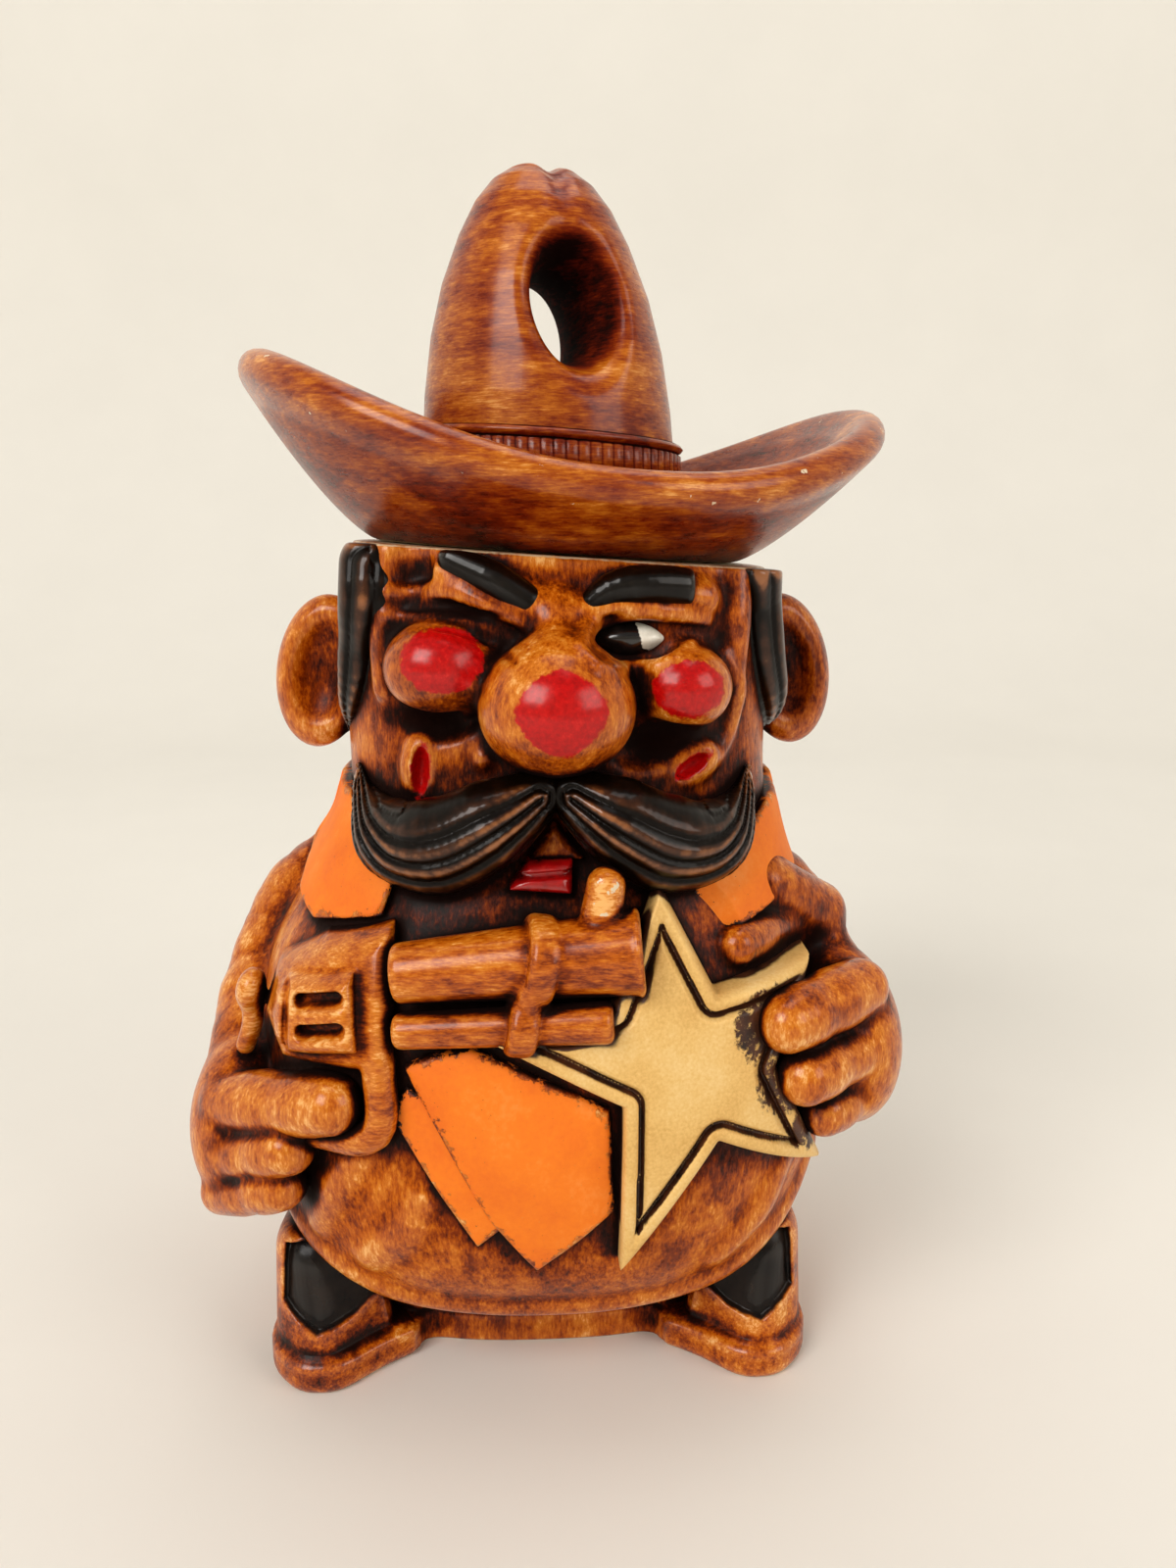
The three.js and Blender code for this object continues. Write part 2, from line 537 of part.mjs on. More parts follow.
// Boots: a splayed pair at the front corners, with a recessed vamp and a welt above the sole
const BOOT_HEIGHT = 42;
const SOLE_HEIGHT = 9;
const BOOT_SHIFT = -2.5; // the pair's middle
const BOOT_MIDDLE = [58, -34];
const WELT = 0.8; // depth of the groove over the sole
const VAMP_DEPTH = 3.5;
const BOOT_SOLE = [[32, -43], [43, -52], [55, -61], [65, -59], [72.5, -51], [75.5, -40], [71, -8], [50, -8]];
const BOOT_TOP = [[40, -44], [50, -50], [60, -53], [67, -51.5], [71.5, -46], [73, -38], [69, -8], [54, -8]];
const VAMP = [[39, -59, 30.5], [63.5, -54, 39], [67, -57, 21], [57, -63, 17.5]];
function boot(side, grow = 0) {
  const ring = (outline, z, inset) =>
    outline.map(([x, y]) => {
      const middle = new THREE.Vector2(...BOOT_MIDDLE);
      const p = new THREE.Vector2(x, y).sub(middle);
      p.setLength(p.length() - inset + grow).add(middle);
      return point(BOOT_SHIFT + side * p.x, p.y, z);
    });
  const shaft = BOOT_SOLE.map(([x, y], i) => [(x + BOOT_TOP[i][0]) / 2, (y + BOOT_TOP[i][1]) / 2]);
  return lofted([
    ring(BOOT_SOLE, 0, 1.5),
    ring(BOOT_SOLE, 2, 0),
    ring(BOOT_SOLE, SOLE_HEIGHT, 0),
    ring(BOOT_SOLE, SOLE_HEIGHT + WELT, WELT),
    ring(BOOT_SOLE, SOLE_HEIGHT + 2 * WELT, 0),
    ring(BOOT_SOLE, 16, 0.5),
    ring(shaft, 25, 0.5),
    ring(BOOT_TOP, BOOT_HEIGHT - 3, 0),
    ring(BOOT_TOP, BOOT_HEIGHT + grow, 2.5),
  ]);
}
function vampRecess(side) {
  const inward = point(side * 0.12, 0.95, -0.25).normalize();
  const face = VAMP.map(([x, y, z]) => point(BOOT_SHIFT + side * x, y, z));
  return lofted([-8, VAMP_DEPTH + 3].map((d) => face.map((p) => p.clone().addScaledVector(inward, d))));
}

// Hat, in its own frame: origin on the seat, +Z along the seat's axis, front towards -Y
function brimShape(p) {
  const reach = Math.hypot(p.x, p.y);
  if (reach <= BRIM_SEAT) return;
  const [c, s] = [p.x / reach, p.y / reach];
  const lip = 1 / Math.hypot(c / BRIM_SIDE, s / BRIM_FRONT);
  const share = (reach - BRIM_SEAT) / (BRIM_SIDE - BRIM_SEAT);
  const radius = BRIM_SEAT + share * (lip - BRIM_SEAT);
  const lift = BRIM_LIFT_FRONT + (BRIM_LIFT_SIDE - BRIM_LIFT_FRONT) * Math.abs(c) ** BRIM_ROLL;
  p.x = c * radius + BRIM_SHIFT * share;
  p.y = s * radius;
  p.z += lift * share ** BRIM_CURVE;
}
function hatBrim() {
  const lip = BRIM_THICK / 2;
  const span = BRIM_SIDE - lip - BRIM_SEAT;
  const hole = CROWN_RADIUS - 8;
  const land = CROWN_RADIUS + 5;
  const profile = [[hole, SLIP_JOINT]];
  for (const t of [0, 0.25, 0.5, 0.75, 1]) profile.push([BRIM_SEAT + span * t, SLIP_JOINT]);
  for (const a of [-45, 0, 45]) {
    const angle = degrees(a);
    profile.push([BRIM_SIDE - lip + lip * Math.cos(angle), lip + lip * Math.sin(angle)]);
  }
  for (const t of [1, 0.7, 0.4, 0.1]) profile.push([BRIM_SEAT + span * t, BRIM_THICK + 2 * (1 - t)]);
  profile.push([land, CROWN_FOOT], [hole, CROWN_FOOT], profile[0]);
  return solidOf(reshaped(turned(profile, 48), brimShape));
}

// The crown's own lean and place on the brim
function upright(p) {
  p.x += CROWN_SHIFT - Math.tan(CROWN_LEAN) * (p.z - CROWN_FOOT);
}

// Crown radius against height: what the radius has lost, and the share of the crown's height
const CROWN_LOW = [[-0.5, 0], [0, 0.1], [1.2, 0.28], [3.5, 0.46]];
const CROWN_HIGH = [[7, 0.62], [12, 0.77], [17.5, 0.89], [25, 0.97]];
const CROWN_CURVE = [...CROWN_LOW, ...CROWN_HIGH];
function crownRadius(share) {
  const i = Math.max(CROWN_CURVE.findIndex(([, s]) => s > share), 1);
  const [[lost0, s0], [lost1, s1]] = [CROWN_CURVE[i - 1], CROWN_CURVE[i]];
  return CROWN_RADIUS - THREE.MathUtils.lerp(lost0, lost1, (share - s0) / (s1 - s0));
}
function crownSkin(inset, low, segments) {
  const tall = CROWN_TOP - CROWN_FOOT;
  const profile = [[0, low], [crownRadius(0) - inset, low]];
  for (const [lost, share] of CROWN_CURVE) {
    const z = CROWN_FOOT + (tall - inset) * share;
    const radius = CROWN_RADIUS - lost - inset;
    if (z > low + 0.5 && radius > 0) profile.push([radius, z]);
  }
  profile.push([0, CROWN_TOP - inset]);
  const skin = reshaped(turned(profile, segments), (p) => {
    const near = Math.max(0, (p.z - CROWN_FOOT) / tall - 0.6) / 0.4;
    p.z -= CROWN_PINCH * near * Math.exp(-((p.x / 7) ** 2));
    upright(p);
  });
  return solidOf(skin);
}

// The finger tunnel, through the crown from front to back, narrow in the middle
function tunnel(grow) {
  const reach = CROWN_RADIUS;
  const profile = [[0, -reach]];
  for (let i = -4; i <= 4; i++) {
    const t = i / 4;
    const flare = TUNNEL_WAIST + (1 - TUNNEL_WAIST) * t * t;
    profile.push([TUNNEL_HALF_WIDTH * flare + grow, t * reach]);
  }
  profile.push([0, reach]);
  const geometry = turned(profile, 18).rotateX(Math.PI / 2).scale(1, 1, TUNNEL_STRETCH);
  return solidOf(reshaped(geometry.translate(0, 0, TUNNEL_HEIGHT), upright));
}
function hatCrown() {
  const outside = crownSkin(0, CROWN_FOOT + SLIP_JOINT, 30);
  const hollow = crownSkin(CROWN_WALL, CROWN_FOOT - 1, 20);
  const liner = tunnel(CROWN_WALL * 0.8).intersect(outside);
  return cut(joined(cut(outside, hollow), liner), tunnel(0));
}
function hatBand() {
  const [low, high] = [BAND_FOOT, BAND_FOOT + BAND_HEIGHT];
  const cord = high - 2.4;
  const inner = crownRadius((low - CROWN_FOOT) / (CROWN_TOP - CROWN_FOOT)) + SLIP_JOINT;
  const outer = inner + BAND_THICK;
  const ribs = [[inner, low], [outer, low + 0.4], [outer, cord]];
  const profile = [...ribs, [outer + 0.4, cord + 1], [outer, high], [inner, high], ribs[0]];
  const band = reshaped(turned(profile, BAND_RIBS * 2), (p) => {
    const radius = Math.hypot(p.x, p.y);
    const ribbed = radius > inner + 0.5 && p.z < cord + 0.1;
    const rib = ribbed ? RIB_DEPTH * Math.cos(BAND_RIBS * Math.atan2(p.y, p.x)) : 0;
    p.multiply(point(1 + rib / radius, 1 + rib / radius, 1));
    upright(p);
  });
  return solidOf(band);
}
function locatingRing() {
  const outer = MOUTH_RADIUS - RING_CLEARANCE;
  const inner = outer - RING_WALL;
  const foot = [[inner, -RING_DEPTH], [outer - 1.5, -RING_DEPTH], [outer, 1.5 - RING_DEPTH]];
  return solidOf(turned([...foot, [outer, 0], [inner, 0], foot[0]], 36));
}

// The assembly
const jar = new THREE.Group();
const hat = new THREE.Group();
function add(group, name, solid, material) {
  const mesh = new THREE.Mesh(geometryOf(solid), material);
  mesh.name = name;
  group.add(mesh);
}
const GAP = SLIP_JOINT;

add(jar, "jar_body", jarBody(), BROWN_STAIN);
add(jar, "nose", seated(nose()), BROWN_STAIN);
add(jar, "right_cheek", seated(cheek(RIGHT_CHEEK), nose(GAP)), RED_GLAZE);
add(jar, "left_cheek", seated(cheek(LEFT_CHEEK), nose(GAP)), RED_GLAZE);
const knobs = [nose(GAP), cheek(RIGHT_CHEEK, GAP), cheek(LEFT_CHEEK, GAP)];
add(jar, "right_ear", seated(ear(-1)), BROWN_STAIN);
add(jar, "left_ear", seated(ear(1)), BROWN_STAIN);
add(jar, "left_eye", seated(openEye(), ...knobs), BLACK_GLAZE);
add(jar, "right_eyelid", seated(closedLid(), ...knobs), BROWN_STAIN);
add(jar, "right_eyebrow", seated(rightBrow(), closedLid(GAP)), BLACK_GLAZE);
add(jar, "left_eyebrow", seated(leftBrow(), openEye(GAP)), BLACK_GLAZE);
add(jar, "right_moustache", seated(moustache(-1), ...knobs), BLACK_GLAZE);
add(jar, "left_moustache", seated(moustache(1), moustache(-1, GAP), ...knobs), BLACK_GLAZE);
const lips = [moustache(-1, GAP), moustache(1, GAP), lowerLip(GAP)];
add(jar, "lower_lip", seated(lowerLip(), lips[0], lips[1]), RED_GLAZE);
const ears = [earBlank(-1, GAP), earBlank(1, GAP)];
const rightLock = laid(outlineFromNeck(RIGHT_SIDEBURN), HAIR_THICK);
const leftLock = laid(outlineFromNeck(LEFT_SIDEBURN), HAIR_THICK);
add(jar, "right_sideburn", seated(rightLock, ...ears, ...knobs, ...lips), BLACK_GLAZE);
add(jar, "left_sideburn", seated(leftLock, ...ears, ...knobs, ...lips), BLACK_GLAZE);

add(jar, "right_boot", seated(boot(-1), vampRecess(-1)), BROWN_STAIN);
add(jar, "left_boot", seated(boot(1), vampRecess(1)), BROWN_STAIN);

add(jar, "revolver_barrel", seated(barrel(), ...lips), BROWN_STAIN);
add(jar, "ejector_tube", seated(ejector(), barrel(GAP)), BROWN_STAIN);
const tubes = [barrel(GAP), ejector(GAP)];
add(jar, "barrel_band", seated(gunBand(), ...tubes, ...lips), BROWN_STAIN);
add(jar, "front_sight", seated(frontSight(), ...tubes, ...lips), BROWN_STAIN);
add(jar, "revolver_frame", seated(revolverFrame(), ...tubes, drum(GAP)), BROWN_STAIN);
add(jar, "revolver_cylinder", seated(cut(drum(), drumSlots()), ...tubes), BROWN_STAIN);
const action = [revolverFrame(GAP), drum(GAP)];
add(jar, "hammer", seated(hammer(), ...action), BROWN_STAIN);
const gun = [...tubes, gunBand(GAP), frontSight(GAP), ...action, hammer(GAP)];

add(jar, "star_badge", seated(starBadge(), ...gun, ...lips), GOLD_PAINT);
const badge = star(GAP);
const boots = [boot(-1, GAP), boot(1, GAP)];
const gunFingers = GUN_FINGERS.map((f) => finger(f, GAP));
const starFingers = STAR_FINGERS.map((f) => finger(f, GAP));
GUN_FINGERS.forEach((f, i) => {
  const inTheWay = [...gun, ...boots, ...gunFingers.slice(0, i)];
  add(jar, `gun_finger_${i + 1}`, seated(finger(f), ...inTheWay), BROWN_STAIN);
});
STAR_FINGERS.forEach((f, i) => {
  add(jar, `star_finger_${i + 1}`, seated(finger(f), badge, ...starFingers.slice(0, i)), BROWN_STAIN);
});
const guard = triggerGuard(GAP);
add(jar, "trigger_guard", seated(triggerGuard(), ...gun, ...gunFingers), BROWN_STAIN);
add(jar, "left_thumb", seated(finger(THUMB), badge, ...starFingers), BROWN_STAIN);
const fingers = [...gunFingers, ...starFingers, finger(THUMB, GAP)];
add(jar, "right_hand", seated(rightHand(), ...gun, ...fingers, guard, ...boots), BROWN_STAIN);
add(jar, "left_hand", seated(leftHand(), badge, ...fingers, ...boots), BROWN_STAIN);
const hands = [...fingers, rightHand(GAP), leftHand(GAP), guard];
add(jar, "right_sleeve", seated(rightSleeve(), ...gun, ...hands), BROWN_STAIN);
add(jar, "left_sleeve", seated(leftSleeve(), badge, ...hands), BROWN_STAIN);

const raised = [...gun, badge, ...hands, rightSleeve(GAP), leftSleeve(GAP), ...lips];
add(jar, "right_collar", seated(laid(RIGHT_COLLAR, CLOTH_THICK), ...raised), ORANGE_PAINT);
add(jar, "left_collar", seated(laid(LEFT_COLLAR, CLOTH_THICK), ...raised), ORANGE_PAINT);
add(jar, "kerchief_point_over", seated(pointOver(), ...raised), ORANGE_PAINT);
const underPoint = laid(POINT_UNDER, CLOTH_UNDER_THICK);
add(jar, "kerchief_point_under", seated(underPoint, pointOver(GAP), ...raised), ORANGE_PAINT);

add(hat, "hat_brim", hatBrim(), BROWN_STAIN);
add(hat, "hat_crown", hatCrown(), BROWN_STAIN);
add(hat, "hat_band", hatBand(), BROWN_STAIN);
add(hat, "locating_ring", locatingRing(), BROWN_STAIN);
hat.applyMatrix4(seatMatrix.clone().multiply(new THREE.Matrix4().makeRotationZ(HAT_TURN)));

const cookieJar = new THREE.Group();
cookieJar.add(jar, hat);
export default cookieJar;
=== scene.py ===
# A figural cookie jar in stained earthenware: a moustached lawman whose hat is the lid.
# The clay is modelled as distance fields in millimetres, in the part's own frame: x to the viewer's
# right, y to the back, z up. Right and left are the figure's own, so its right hand is towards -x.
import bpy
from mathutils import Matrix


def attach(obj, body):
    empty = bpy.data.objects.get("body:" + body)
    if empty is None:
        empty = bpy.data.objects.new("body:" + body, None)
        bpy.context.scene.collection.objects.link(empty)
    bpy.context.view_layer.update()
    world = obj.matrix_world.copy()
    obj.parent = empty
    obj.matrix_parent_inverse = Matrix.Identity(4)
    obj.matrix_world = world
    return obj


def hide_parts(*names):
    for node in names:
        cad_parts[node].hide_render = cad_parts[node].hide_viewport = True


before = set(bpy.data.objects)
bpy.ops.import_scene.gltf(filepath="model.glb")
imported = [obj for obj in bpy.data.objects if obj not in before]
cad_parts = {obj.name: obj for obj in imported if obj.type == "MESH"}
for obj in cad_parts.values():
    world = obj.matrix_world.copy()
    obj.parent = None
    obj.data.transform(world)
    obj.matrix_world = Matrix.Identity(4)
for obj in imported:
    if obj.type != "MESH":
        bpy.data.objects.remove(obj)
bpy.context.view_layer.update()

import math
import bpy
import numpy as np
import openvdb

MM = 0.001
CAST_STEP = 0.8  # grid of the jar casting
FINE_STEP = 0.4  # grid of the applied pieces, half of the casting's
FAR = 60.0  # distance given to points that no clay is near
END_ROUND, SEAT_ROUND, FOOT_ROUND = 2.4, 0.8, 1.5  # roundings of a bar's ends, the rim and the foot
RELIEF_ROOM, RELIEF_BACK = 16, 8  # how far a relief may stand out, and how far back it may reach
PIECE_ROOM = 3.0  # spare grid round an applied piece
TOUCH_STEP = 0.4  # how finely the front is searched for clay
STRAND_STEPS = 120  # points along a combed lock of hair
SLIP = 0.3  # joint between pieces

# ---------------------------------------------------------------- the vessel, as in the part's source
POWER = 2.6  # 2 is an oval section, more is squarer
WALL, FLOOR_THICK, MOUTH_RADIUS, MOUTH_DEPTH = 6.5, 8, 43, 26
RIM_HEIGHT, HEAD_SHIFT, SEAT_TILT = 220, 4, math.radians(3.7)
SEAT = np.array([HEAD_SHIFT, 0, RIM_HEIGHT], float)
SEAT_AXIS = np.array([math.sin(SEAT_TILT), 0, math.cos(SEAT_TILT)])
# height, half width, front depth, rear depth, sideways shift
SECTIONS = np.array([
    (0, 61, 41, 54, -1), (16, 62, 42.5, 56, -1), (26, 68, 60, 61, -1), (44, 75, 73.5, 67, -1),
    (78, 81, 79, 71, 0), (112, 77, 76, 69, 0), (136, 66, 69, 61, 2), (154, 58.5, 61, 54, 4),
    (172, 57.5, 58, 52, 4), (198, 58.5, 57, 52.5, 4), (212, 57.5, 56, 53, 4), (220, 55.6, 55, 52.6, 4),
    (230, 52.5, 54.5, 52, 4)], float)


def sections(z):
    """Half width, front, rear and shift of the vessel at heights z."""
    heights, sizes = SECTIONS[:, 0], SECTIONS[:, 1:]
    slopes = np.empty_like(sizes)
    slopes[1:-1] = (sizes[2:] - sizes[:-2]) / (heights[2:] - heights[:-2])[:, None]
    slopes[0] = (sizes[1] - sizes[0]) / (heights[1] - heights[0])
    slopes[-1] = (sizes[-1] - sizes[-2]) / (heights[-1] - heights[-2])
    z = np.asarray(z, float)
    i = np.clip(np.searchsorted(heights, z) - 1, 0, len(heights) - 2)
    span = heights[i + 1] - heights[i]
    t = (z - heights[i]) / span
    t, span = t[..., None], span[..., None]
    t2, t3 = t * t, t * t * t
    value = sizes[i] * (2 * t3 - 3 * t2 + 1) + slopes[i] * span * (t3 - 2 * t2 + t)
    value = value + sizes[i + 1] * (3 * t2 - 2 * t3) + slopes[i + 1] * span * (t3 - t2)
    return [value[..., k].astype(np.float32) for k in range(4)]


def vessel(x, y, z):
    """Radial distance to the vessel's outside, not yet of even scale."""
    half, front, rear, shift = sections(z)
    across = (np.abs(x - shift) / half) ** POWER
    deep = (np.abs(y) / np.where(y < 0, front, rear)) ** POWER
    norm = np.maximum(across + deep, 1e-6) ** (1 / POWER)
    reach = np.sqrt((x - shift) ** 2 + y * y)
    return reach - reach / norm


def on(x, z, proud=0.0):
    """A point that stands proud of the vessel's front."""
    half, front, _, shift = (float(v) for v in sections(z))
    share = min(abs(x - shift) / half, 0.97)
    return np.array([x, -front * (1 - share ** POWER) ** (1 / POWER) - proud, z])


# ---------------------------------------------------------------- modelling clay on a grid
def soft_union(a, b, soft):
    """Both clays joined with a fillet."""
    if soft <= 0:
        return np.minimum(a, b)
    h = np.clip(soft - np.abs(a - b), 0, None)
    return np.minimum(a, b) - h * h / (4 * soft)


def soft_both(a, b, soft):
    """Only what lies in both clays, with a rounded edge."""
    return -soft_union(-a, -b, soft)


class Clay:
    """A block of clay on a grid: below zero is clay, in millimetres."""

    def __init__(self, low, high, step):
        self.low = np.floor(np.array(low, float) / CAST_STEP) * CAST_STEP
        count = np.ceil((np.array(high, float) - self.low) / step).astype(int) + 1
        self.step = step
        self.field = np.full(count, FAR, np.float32)

    def axes(self, window=(slice(None),) * 3):
        lines = [self.low[k] + self.step * np.arange(self.field.shape[k])[window[k]] for k in range(3)]
        shapes = ((-1, 1, 1), (1, -1, 1), (1, 1, -1))
        return [line.astype(np.float32).reshape(shape) for line, shape in zip(lines, shapes)]

    def window(self, low, high, spare):
        """The slices of the grid that hold a box."""
        first = np.floor((np.array(low) - spare - self.low) / self.step).astype(int)
        last = np.ceil((np.array(high) + spare - self.low) / self.step).astype(int) + 1
        first, last = np.clip(first, 0, self.field.shape), np.clip(last, 0, self.field.shape)
        return tuple(slice(a, b) for a, b in zip(first, last))

    def work(self, form, change, soft):
        """Changes the clay where a form, given as its distance and its box, comes near."""
        distance, low, high = form
        window = self.window(low, high, soft + 3 * self.step)
        part = self.field[window]
        if part.size:
            self.field[window] = change(part, distance(*self.axes(window)))

    def join(self, form, soft=0.0):
        self.work(form, lambda a, b: soft_union(a, b, soft), soft)
        return self

    def cut(self, form, soft=0.0):
        self.work(form, lambda a, b: soft_both(a, -b, soft), soft)
        return self

    def trim(self, beyond, soft):
        """Takes off the clay where beyond is above zero."""
        self.field = soft_both(self.field, beyond.astype(np.float32), soft)
        return self

    def even(self):
        """Evens the field's slope, so that its values are distances."""
        slopes = np.gradient(self.field, self.step)
        steep = np.sqrt(sum(s * s for s in slopes))
        self.field /= np.clip(steep, 0.3, 3.0)
        return self

    def at(self, points):
        """The field at points, between the grid's values."""
        place = (points - self.low) / self.step
        top = np.array(self.field.shape) - 2
        cell = np.clip(np.floor(place).astype(int), 0, top)
        t = np.clip(place - cell, 0, 1).astype(np.float32)
        total = 0
        for dx, dy, dz in np.ndindex(2, 2, 2):
            weight = (t[:, 0] if dx else 1 - t[:, 0]) * (t[:, 1] if dy else 1 - t[:, 1])
            weight = weight * (t[:, 2] if dz else 1 - t[:, 2])
            total = total + weight * self.field[cell[:, 0] + dx, cell[:, 1] + dy, cell[:, 2] + dz]
        return total

    def normals(self, points):
        d = self.step
        slope = [self.at(points + d * e) - self.at(points - d * e) for e in np.eye(3)]
        slope = np.stack(slope, axis=1)
        return slope / np.maximum(np.linalg.norm(slope, axis=1, keepdims=True), 1e-6)

    def skin(self):
        """Corner points and four-sided faces of the clay's surface."""
        grid = openvdb.FloatGrid(FAR)
        grid.copyFromArray(self.field)
        points, faces = grid.convertToQuads(0.0)
        points = points.astype(float) * self.step + self.low
        a, b, c = (points[faces[:, k]] for k in (0, 1, 2))
        outward = np.einsum("ij,ij->i", np.cross(b - a, c - a), a - points.mean(axis=0)).sum()
        return points, faces if outward > 0 else faces[:, ::-1]


def ball(at, radii, turn=None):
    """An ellipsoid, turned by a rotation matrix if one is given."""
    at, radii = np.array(at, float), np.array(radii, float)
    spin = np.eye(3) if turn is None else turn

    def distance(x, y, z):
        p = [x - np.float32(at[0]), y - np.float32(at[1]), z - np.float32(at[2])]
        q = [sum(np.float32(spin[j, k]) * p[j] for j in range(3)) for k in range(3)]
        k0 = np.sqrt(sum((v / np.float32(r)) ** 2 for v, r in zip(q, radii)))
        k1 = np.sqrt(sum((v / np.float32(r * r)) ** 2 for v, r in zip(q, radii)))
        return k0 * (k0 - 1) / np.maximum(k1, 1e-4)

    reach = np.sqrt(((spin * radii) ** 2).sum(axis=1))
    return distance, at - reach, at + reach


def turned_by(x=0.0, y=0.0, z=0.0):
    """Rotation matrix of turns about x, then y, then z."""
    cx, sx, cy, sy, cz, sz = (f(v) for v in (x, y, z) for f in (math.cos, math.sin))
    about_x = np.array([[1, 0, 0], [0, cx, -sx], [0, sx, cx]])
    about_y = np.array([[cy, 0, sy], [0, 1, 0], [-sy, 0, cy]])
    about_z = np.array([[cz, -sz, 0], [sz, cz, 0], [0, 0, 1]])
    return about_x @ about_y @ about_z


def curve(points, count):
    """Points along a smooth curve through the given points, with even steps."""
    p = np.array(points, float)
    p = np.vstack([2 * p[0] - p[1], p, 2 * p[-1] - p[-2]])
    dense = []
    for i in range(1, len(p) - 2):
        t = np.linspace(0, 1, 24, endpoint=False)[:, None]
        a, b, c, d = p[i - 1:i + 3]
        bend = (2 * a - 5 * b + 4 * c - d) * t ** 2 + (3 * b - a - 3 * c + d) * t ** 3
        dense.append(0.5 * (2 * b + (c - a) * t + bend))
    dense = np.vstack(dense + [p[-2:-1]])
    length = np.concatenate([[0], np.cumsum(np.linalg.norm(np.diff(dense, axis=0), axis=1))])
    even = np.linspace(0, length[-1], count)
    return np.stack([np.interp(even, length, dense[:, k]) for k in range(3)], axis=1)


def roll(points, radii, count=14, comb=None):
    """A rounded bar along a curve. comb(angle, share) takes clay off, as a share of the radius."""
    line = curve(points, count) if len(points) > 2 else np.array(points, float)
    count = len(line)
    thick = np.interp(np.linspace(0, 1, count), np.linspace(0, 1, len(radii)), radii)
    most = max(radii)
    near = most + 4  # points farther off are left at FAR

    def distance(x, y, z):
        shape = np.broadcast_shapes(x.shape, y.shape, z.shape)
        best = np.full(shape, FAR, np.float32)
        angle, share, size = (np.zeros(shape if comb else (1,), np.float32) for _ in range(3))
        for i in range(count - 1):
            a, b = line[i], line[i + 1]
            low, high = np.minimum(a, b) - near, np.maximum(a, b) + near
            pick = []
            for axis, k in ((x, 0), (y, 1), (z, 2)):
                inside = np.nonzero((axis.ravel() >= low[k]) & (axis.ravel() <= high[k]))[0]
                pick.append(slice(inside[0], inside[-1] + 1) if len(inside) else slice(0, 0))
            px, py, pz = x[pick[0]] - a[0], y[:, pick[1]] - a[1], z[:, :, pick[2]] - a[2]
            along = b - a
            t = np.clip((px * along[0] + py * along[1] + pz * along[2]) / max(along @ along, 1e-9), 0, 1)
            ox, oy, oz = px - t * along[0], py - t * along[1], pz - t * along[2]
            radius = thick[i] + (thick[i + 1] - thick[i]) * t
            gap = np.sqrt(ox * ox + oy * oy + oz * oz) - radius
            part = best[tuple(pick)]
            nearer = gap < part
            part[nearer] = gap[nearer]
            if comb:
                side = np.cross(along, (0, -1, 0))
                side = side / max(np.linalg.norm(side), 1e-9)
                lean = np.sign(ox * side[0] + oy * side[1] + oz * side[2])
                turn = np.arctan2(lean * np.sqrt(ox * ox + oz * oz), -oy)
                angle[tuple(pick)][nearer] = turn[nearer]
                share[tuple(pick)][nearer] = ((i + t) / (count - 1))[nearer]
                size[tuple(pick)][nearer] = radius[nearer]
        return best + size * comb(angle, share) if comb else best

    return distance, line.min(axis=0) - most, line.max(axis=0) + most


def bar(start, end, r0, r1):
    """A round bar with flat ends."""
    start, end = np.array(start, float), np.array(end, float)
    length = np.linalg.norm(end - start)
    along = (end - start) / length

    def distance(x, y, z):
        px, py, pz = x - start[0], y - start[1], z - start[2]
        t = px * along[0] + py * along[1] + pz * along[2]
        away = np.sqrt(np.maximum(px * px + py * py + pz * pz - t * t, 0))
        radius = r0 + (r1 - r0) * np.clip(t / length, 0, 1)
        return soft_both(away - radius, np.abs(t - length / 2) - length / 2, END_ROUND)

    most = max(r0, r1)
    return distance, np.minimum(start, end) - most, np.maximum(start, end) + most


def to_line(x, z, start, end):
    """Distance in x and z to a straight line between two points."""
    (ax, az), (bx, bz) = start, end
    ex, ez = bx - ax, bz - az
    t = np.clip(((x - ax) * ex + (z - az) * ez) / (ex * ex + ez * ez), 0, 1)
    return np.hypot(x - ax - t * ex, z - az - t * ez)


def from_edge(outline, x, z):
    """Distance to a closed outline in x and z, below zero inside it."""
    corners = np.array(outline, float)
    nearest = np.full(np.broadcast_shapes(x.shape, z.shape), FAR, np.float32)
    inside = np.zeros(nearest.shape, bool)
    for (ax, az), (bx, bz) in zip(corners, np.roll(corners, -1, axis=0)):
        nearest = np.minimum(nearest, to_line(x, z, (ax, az), (bx, bz)))
        crosses = (z >= min(az, bz)) & (z < max(az, bz))
        if bz != az:
            inside ^= crosses & (x < ax + (z - az) * (bx - ax) / (bz - az))
    return np.where(inside, -1, 1) * nearest


def laid(outline, height, corner=1.2, root=2.5):
    """A relief with the given outline that follows the vessel's front, as high as height(edge, x, z)."""
    corners = np.array(outline, float)
    foremost = min(on(x, z)[1] for x, z in corners) - RELIEF_ROOM
    low = np.array([corners[:, 0].min(), foremost, corners[:, 1].min()])
    high = np.array([corners[:, 0].max(), RELIEF_BACK + 4, corners[:, 1].max()])

    def distance(x, y, z):
        edge = from_edge(outline, x, z)
        skin = vessel(x, y, z)
        slopes = np.gradient(skin, float(x.ravel()[1] - x.ravel()[0]))
        skin = skin / np.clip(np.sqrt(sum(s * s for s in slopes)), 0.3, 3)
        top = soft_both(skin - height(edge, x, z), edge, corner)
        return np.maximum(np.maximum(top, -skin - root), y - RELIEF_BACK)

    return distance, low, high


